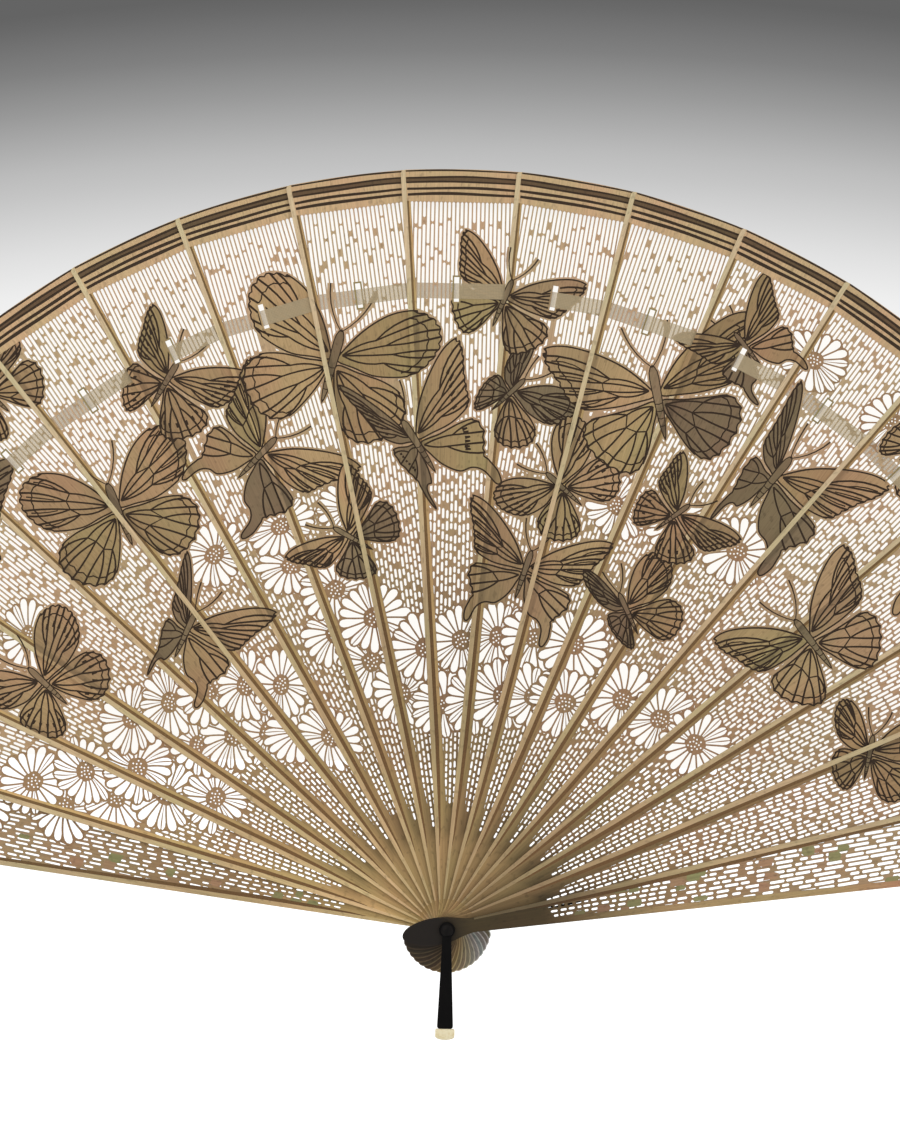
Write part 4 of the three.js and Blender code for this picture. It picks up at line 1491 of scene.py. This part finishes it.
@dataclass
class Rivet:
    """The rivet, a shaft with a domed head at each end, in millimetres."""

    shaft: float = 1.2
    head: float = 2.0
    dome: float = 0.9
    front: float = -12.05
    back: float = 10.4

    def build(self, material: bpy.types.Material) -> None:
        """Draws the rivet out ring by ring from its front dome to its back dome."""
        arc = [(math.sin(a), math.cos(a)) for a in np.linspace(0.12, math.pi / 2, 9)]
        rings = [(self.head * out, self.front - self.dome * up) for out, up in arc]
        rings += [(self.shaft, self.front), (self.shaft, self.back)]
        rings += [(self.head * out, self.back + self.dome * up) for out, up in reversed(arc)]
        radius, depth = rings[0]
        start_circle(48, radius, depth, "NGON")
        for wide, deep in rings[1:]:
            bpy.ops.mesh.extrude_region_move(TRANSFORM_OT_translate={
                "value": (0, (deep - depth) * MM, 0)})
            bpy.ops.transform.resize(value=(wide / radius, 1, wide / radius),
                                     center_override=(0, deep * MM, 0))
            radius, depth = wide, deep
        piece = close_up("rivet_steel", material)
        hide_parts("rivet")
        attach(piece, "front_guard")
        log.info("rivet: %d faces", len(piece.data.polygons))


@dataclass
class Pendant:
    """The pendant: a black bar with an eye on the rivet, and its pale tip, in millimetres."""

    depth: float = -11.2
    eye: float = 2.53
    bore: float = 1.32
    thick: float = 1.6
    reach: float = 31.0
    top_half: float = 1.45
    low_half: float = 2.55
    tip_half: float = 3.05
    tip_long: float = 3.5
    tip_foot: float = 1.1
    tip_thick: float = 2.2
    seam: float = 0.05

    def bar(self, material: bpy.types.Material) -> bpy.types.Object:
        """Models the bar: a ring for the eye, its lowest edges drawn down and widened."""
        start_circle(72, self.eye, self.depth, "NOTHING")
        bpy.ops.mesh.extrude_edges_move()
        share = self.bore / self.eye
        bpy.ops.transform.resize(value=(share, 1, share), center_override=(0, self.depth * MM, 0))
        pick(lambda co: co.z < 0 and abs(co.x) <= (self.top_half + 0.02) * MM
             and math.hypot(co.x, co.z) > 2 * MM)
        rings = [(-4.0, self.top_half)]
        rings += [(-z, between(self.top_half, self.low_half, (z - 4) / (self.reach - 4)))
                  for z in (8.0, 14.0, 20.0, 26.0, self.reach - 0.9)]
        rings += [(up - self.reach, self.low_half - less)
                  for up, less in ((0.5, 0.08), (0.2, 0.28), (0.0, 0.7))]
        shape = bmesh.from_edit_mesh(bpy.context.edit_object.data)
        wide = max(abs(vertex.co.x) for vertex in shape.verts if vertex.select) / MM
        at = -self.eye
        for up, half in rings:
            bpy.ops.mesh.extrude_edges_move(TRANSFORM_OT_translate={
                "value": (0, 0, (up - at) * MM)})
            bpy.ops.transform.resize(value=(half / wide, 1, 0),
                                     center_override=(0, self.depth * MM, up * MM))
            at, wide = up, half
        bpy.ops.object.mode_set(mode="OBJECT")
        thicken(self.thick, 0.3)
        return close_up("pendant_bar_lacquer", material)

    def tip(self, material: bpy.types.Material) -> bpy.types.Object:
        """Models the tip: the lower half of an oval, its cut edge drawn up to the seam."""
        start_circle(64, 1.0, self.depth, "NGON")
        bpy.ops.transform.resize(value=(self.tip_half, 1, self.tip_foot),
                                 center_override=(0, self.depth * MM, 0))
        bpy.ops.mesh.bisect(plane_co=(0, self.depth * MM, 0), plane_no=(0, 0, 1),
                            clear_outer=True)
        straight = self.tip_long - self.tip_foot
        low = -self.reach - self.seam - straight
        bpy.ops.mesh.select_all(action="SELECT")
        bpy.ops.transform.translate(value=(0, 0, low * MM))
        pick(lambda co: abs(co.z - low * MM) < 1e-6)
        bpy.ops.mesh.extrude_edges_move(TRANSFORM_OT_translate={"value": (0, 0, straight * MM)})
        bpy.ops.object.mode_set(mode="OBJECT")
        thicken(self.tip_thick, 0.45)
        return close_up("pendant_tip_bone", material)

    def build(self, lacquer: bpy.types.Material, bone: bpy.types.Material) -> None:
        """Builds the bar and the tip.

        Args:
            lacquer: the bar's material.
            bone: the tip's material.
        """
        for piece, node, slot in ((self.bar(lacquer), "pendant_bar", "black_lacquer"),
                                  (self.tip(bone), "pendant_tip", "pale_tip")):
            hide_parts(node)
            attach(piece, "pendant")
            log.info("%s: %d faces", piece.name, len(piece.data.polygons))


class Studio:
    """The camera, the pale floor, the light and what the camera sees behind the fan."""

    # The camera: metres to the fan, millimetres beside and above the rivet, and degrees of roll.
    DISTANCE, ASIDE, ABOVE, ROLL = 2.0, 0.95, 115.6, 1.2
    SENSOR, LENS = 24.0, 134.9
    # The grey above the fan, from its lower edge up.
    GREYS = ((0.06, "#ffffff"), (0.165, "#f7f7f7"), (0.265, "#eeeeee"), (0.37, "#e0e0e0"),
             (0.448, "#d3d3d3"), (0.527, "#c5c5c5"), (0.585, "#bcbcbc"), (0.663, "#ababab"),
             (0.74, "#999999"), (0.847, "#808080"), (0.963, "#6a6a6a"), (1.0, "#646464"))
    # The white behind the fan: its centre as seen from the camera and its soft rim, in metres.
    DISC_CENTRE, DISC_RIM = (0.0015, 2.0, -0.1156), (0.226, 0.238)
    FLOOR_HEIGHT = -0.075

    def camera(self) -> None:
        """Sets the camera on the photograph's side, turned a little, as the photograph is."""
        data = bpy.data.cameras.new("camera")
        data.sensor_fit = "VERTICAL"
        data.sensor_height = self.SENSOR
        data.lens = self.LENS
        data.clip_start = 0.05
        camera = bpy.data.objects.new("camera", data)
        roll = math.radians(self.ROLL)
        right = Vector((math.cos(roll), 0, math.sin(roll)))
        up = Vector((-math.sin(roll), 0, math.cos(roll)))
        place = self.ASIDE * MM * right + self.ABOVE * MM * up + Vector((0, -self.DISTANCE, 0))
        turn = Matrix((right, up, right.cross(up))).transposed().to_4x4()
        camera.matrix_world = Matrix.Translation(place) @ turn
        bpy.context.scene.collection.objects.link(camera)
        bpy.context.scene.camera = camera

    def lamp(self, name: str, place: tuple[float, float, float], power: float, size: float) -> None:
        """Adds a soft square lamp that faces the fan.

        Args:
            name: its name.
            place: where it stands, in metres.
            power: its power in watts.
            size: its side in metres.
        """
        data = bpy.data.lights.new(name, "AREA")
        data.energy = power
        data.size = size
        lamp = bpy.data.objects.new(name, data)
        aim = Vector((0, 0, 0.12)) - Vector(place)
        turn = aim.to_track_quat("-Z", "Y").to_matrix().to_4x4()
        lamp.matrix_world = Matrix.Translation(place) @ turn
        bpy.context.scene.collection.objects.link(lamp)

    @staticmethod
    def seen(tree: bpy.types.NodeTree) -> bpy.types.NodeSocket:
        """1 on the rays that show the studio: to the camera, in a mirror or through glass."""
        path = add_node(tree, "ShaderNodeLightPath").outputs
        both = computed(tree, "ADD", path["Is Camera Ray"], path["Is Glossy Ray"])
        return add_node(tree, "ShaderNodeMath", {0: both, 1: path["Is Transmission Ray"]},
                        operation="ADD", use_clamp=True).outputs[0]

    def world(self) -> None:
        """Lights softly all round. Straight ahead grey is seen above the fan, else white."""
        world = bpy.data.worlds.new("studio")
        world.use_nodes = True
        tree = world.node_tree
        tree.nodes.clear()
        way = add_node(tree, "ShaderNodeTexCoord").outputs["Generated"]
        parts = add_node(tree, "ShaderNodeSeparateXYZ", {0: way}).outputs
        square = computed(tree, "MULTIPLY", parts["X"], parts["X"])
        lean = computed(tree, "MULTIPLY_ADD", parts["X"], -0.021, parts["Z"])
        height = computed(tree, "MULTIPLY_ADD", square, 0.9, lean)
        ahead = ranged(tree, parts["Y"], 0.9, 0.97, 0, 1)
        grey = graded(tree, ranged(tree, height, 0.03, 0.09, 0, ahead),
                      [(place, linear(shade)) for place, shade in self.GREYS])
        stretch = computed(tree, "DIVIDE", self.DISTANCE, parts["Y"])
        plane = add_node(tree, "ShaderNodeVectorMath", {0: way, "Scale": stretch},
                         operation="SCALE").outputs["Vector"]
        far = add_node(tree, "ShaderNodeVectorMath", {0: plane, 1: self.DISC_CENTRE},
                       operation="DISTANCE").outputs["Value"]
        rim = ranged(tree, far, *self.DISC_RIM, 0, 1)
        seen = mixed(tree, rim, linear("#fffcf7"), grey)
        picture = add_node(tree, "ShaderNodeBackground", {"Color": seen, "Strength": 1.0})
        light = add_node(tree, "ShaderNodeBackground", {"Color": (1, 1, 1, 1), "Strength": 0.65})
        mix = add_node(tree, "ShaderNodeMixShader", {0: self.seen(tree), 1: light.outputs[0],
                                           2: picture.outputs[0]})
        add_node(tree, "ShaderNodeOutputWorld", {"Surface": mix.outputs[0]})
        bpy.context.scene.world = world

    def floor(self) -> None:
        """Adds a white floor below the pendant, as bright as paper to the camera."""
        bpy.ops.object.select_all(action="DESELECT")
        bpy.ops.mesh.primitive_plane_add(size=8, location=(0, 0, self.FLOOR_HEIGHT))
        plane = bpy.context.object
        plane.name = "studio_floor"
        material, tree, shader = new_material("white paper floor")
        glow = computed(tree, "MULTIPLY", self.seen(tree), 0.55)
        connect(tree, shader, {"Base Color": (0.8, 0.8, 0.8, 1), "Roughness": 0.9,
                               "Emission Color": (1, 1, 1, 1), "Emission Strength": glow})
        plane.data.materials.append(material)

    def build(self) -> None:
        """Builds the whole studio."""
        self.camera()
        self.world()
        self.floor()
        self.lamp("front_left", (-1.1, -1.7, 1.3), 16, 1.4)
        self.lamp("front_right", (1.4, -1.5, 0.7), 7, 1.4)
        self.lamp("back", (0.3, 1.8, 1.2), 8, 1.4)
        bpy.context.scene.view_settings.view_transform = "Standard"


@dataclass
class Fan:
    """The whole fan."""

    sticks: list[Stick] = field(default_factory=list)

    def build(self) -> None:
        """Builds every piece and lets it ride on its body."""
        horn = PolishedHorn().make()
        scorch_and_shade = ScorchedLineAndShade().make()
        for number in range(STICKS):
            if number == 0:
                node, body, sizes = "guard_front", "front_guard", FRONT_GUARD
            elif number == STICKS - 1:
                node, body, sizes = "guard_back", "back_guard", BACK_GUARD
            else:
                node, body, sizes = f"blade_{number:02d}", f"stick_{number:02d}", BLADE
            stick = Stick(number, node, body, sizes)
            piece = stick.build(horn, scorch_and_shade)
            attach(piece, body)
            self.sticks.append(stick)
            log.info("%s: %d faces", piece.name, len(piece.data.polygons))
        steel = BROWNED_STEEL.make()
        Ribbon().build(self.sticks, WovenSilk().make())
        Rivet().build(steel)
        Pendant().build(BLACK_LACQUER.make(), TURNED_BONE.make())
        for node in ("washer_front", "washer_back"):
            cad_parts[node].data.materials.clear()
            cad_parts[node].data.materials.append(steel)


def main() -> None:
    """Builds the studio and the fan."""
    logging.basicConfig(level=logging.INFO, format="%(message)s")
    Studio().build()
    Fan().build()
    bpy.context.view_layer.update()


if __name__ == "__main__":
    main()
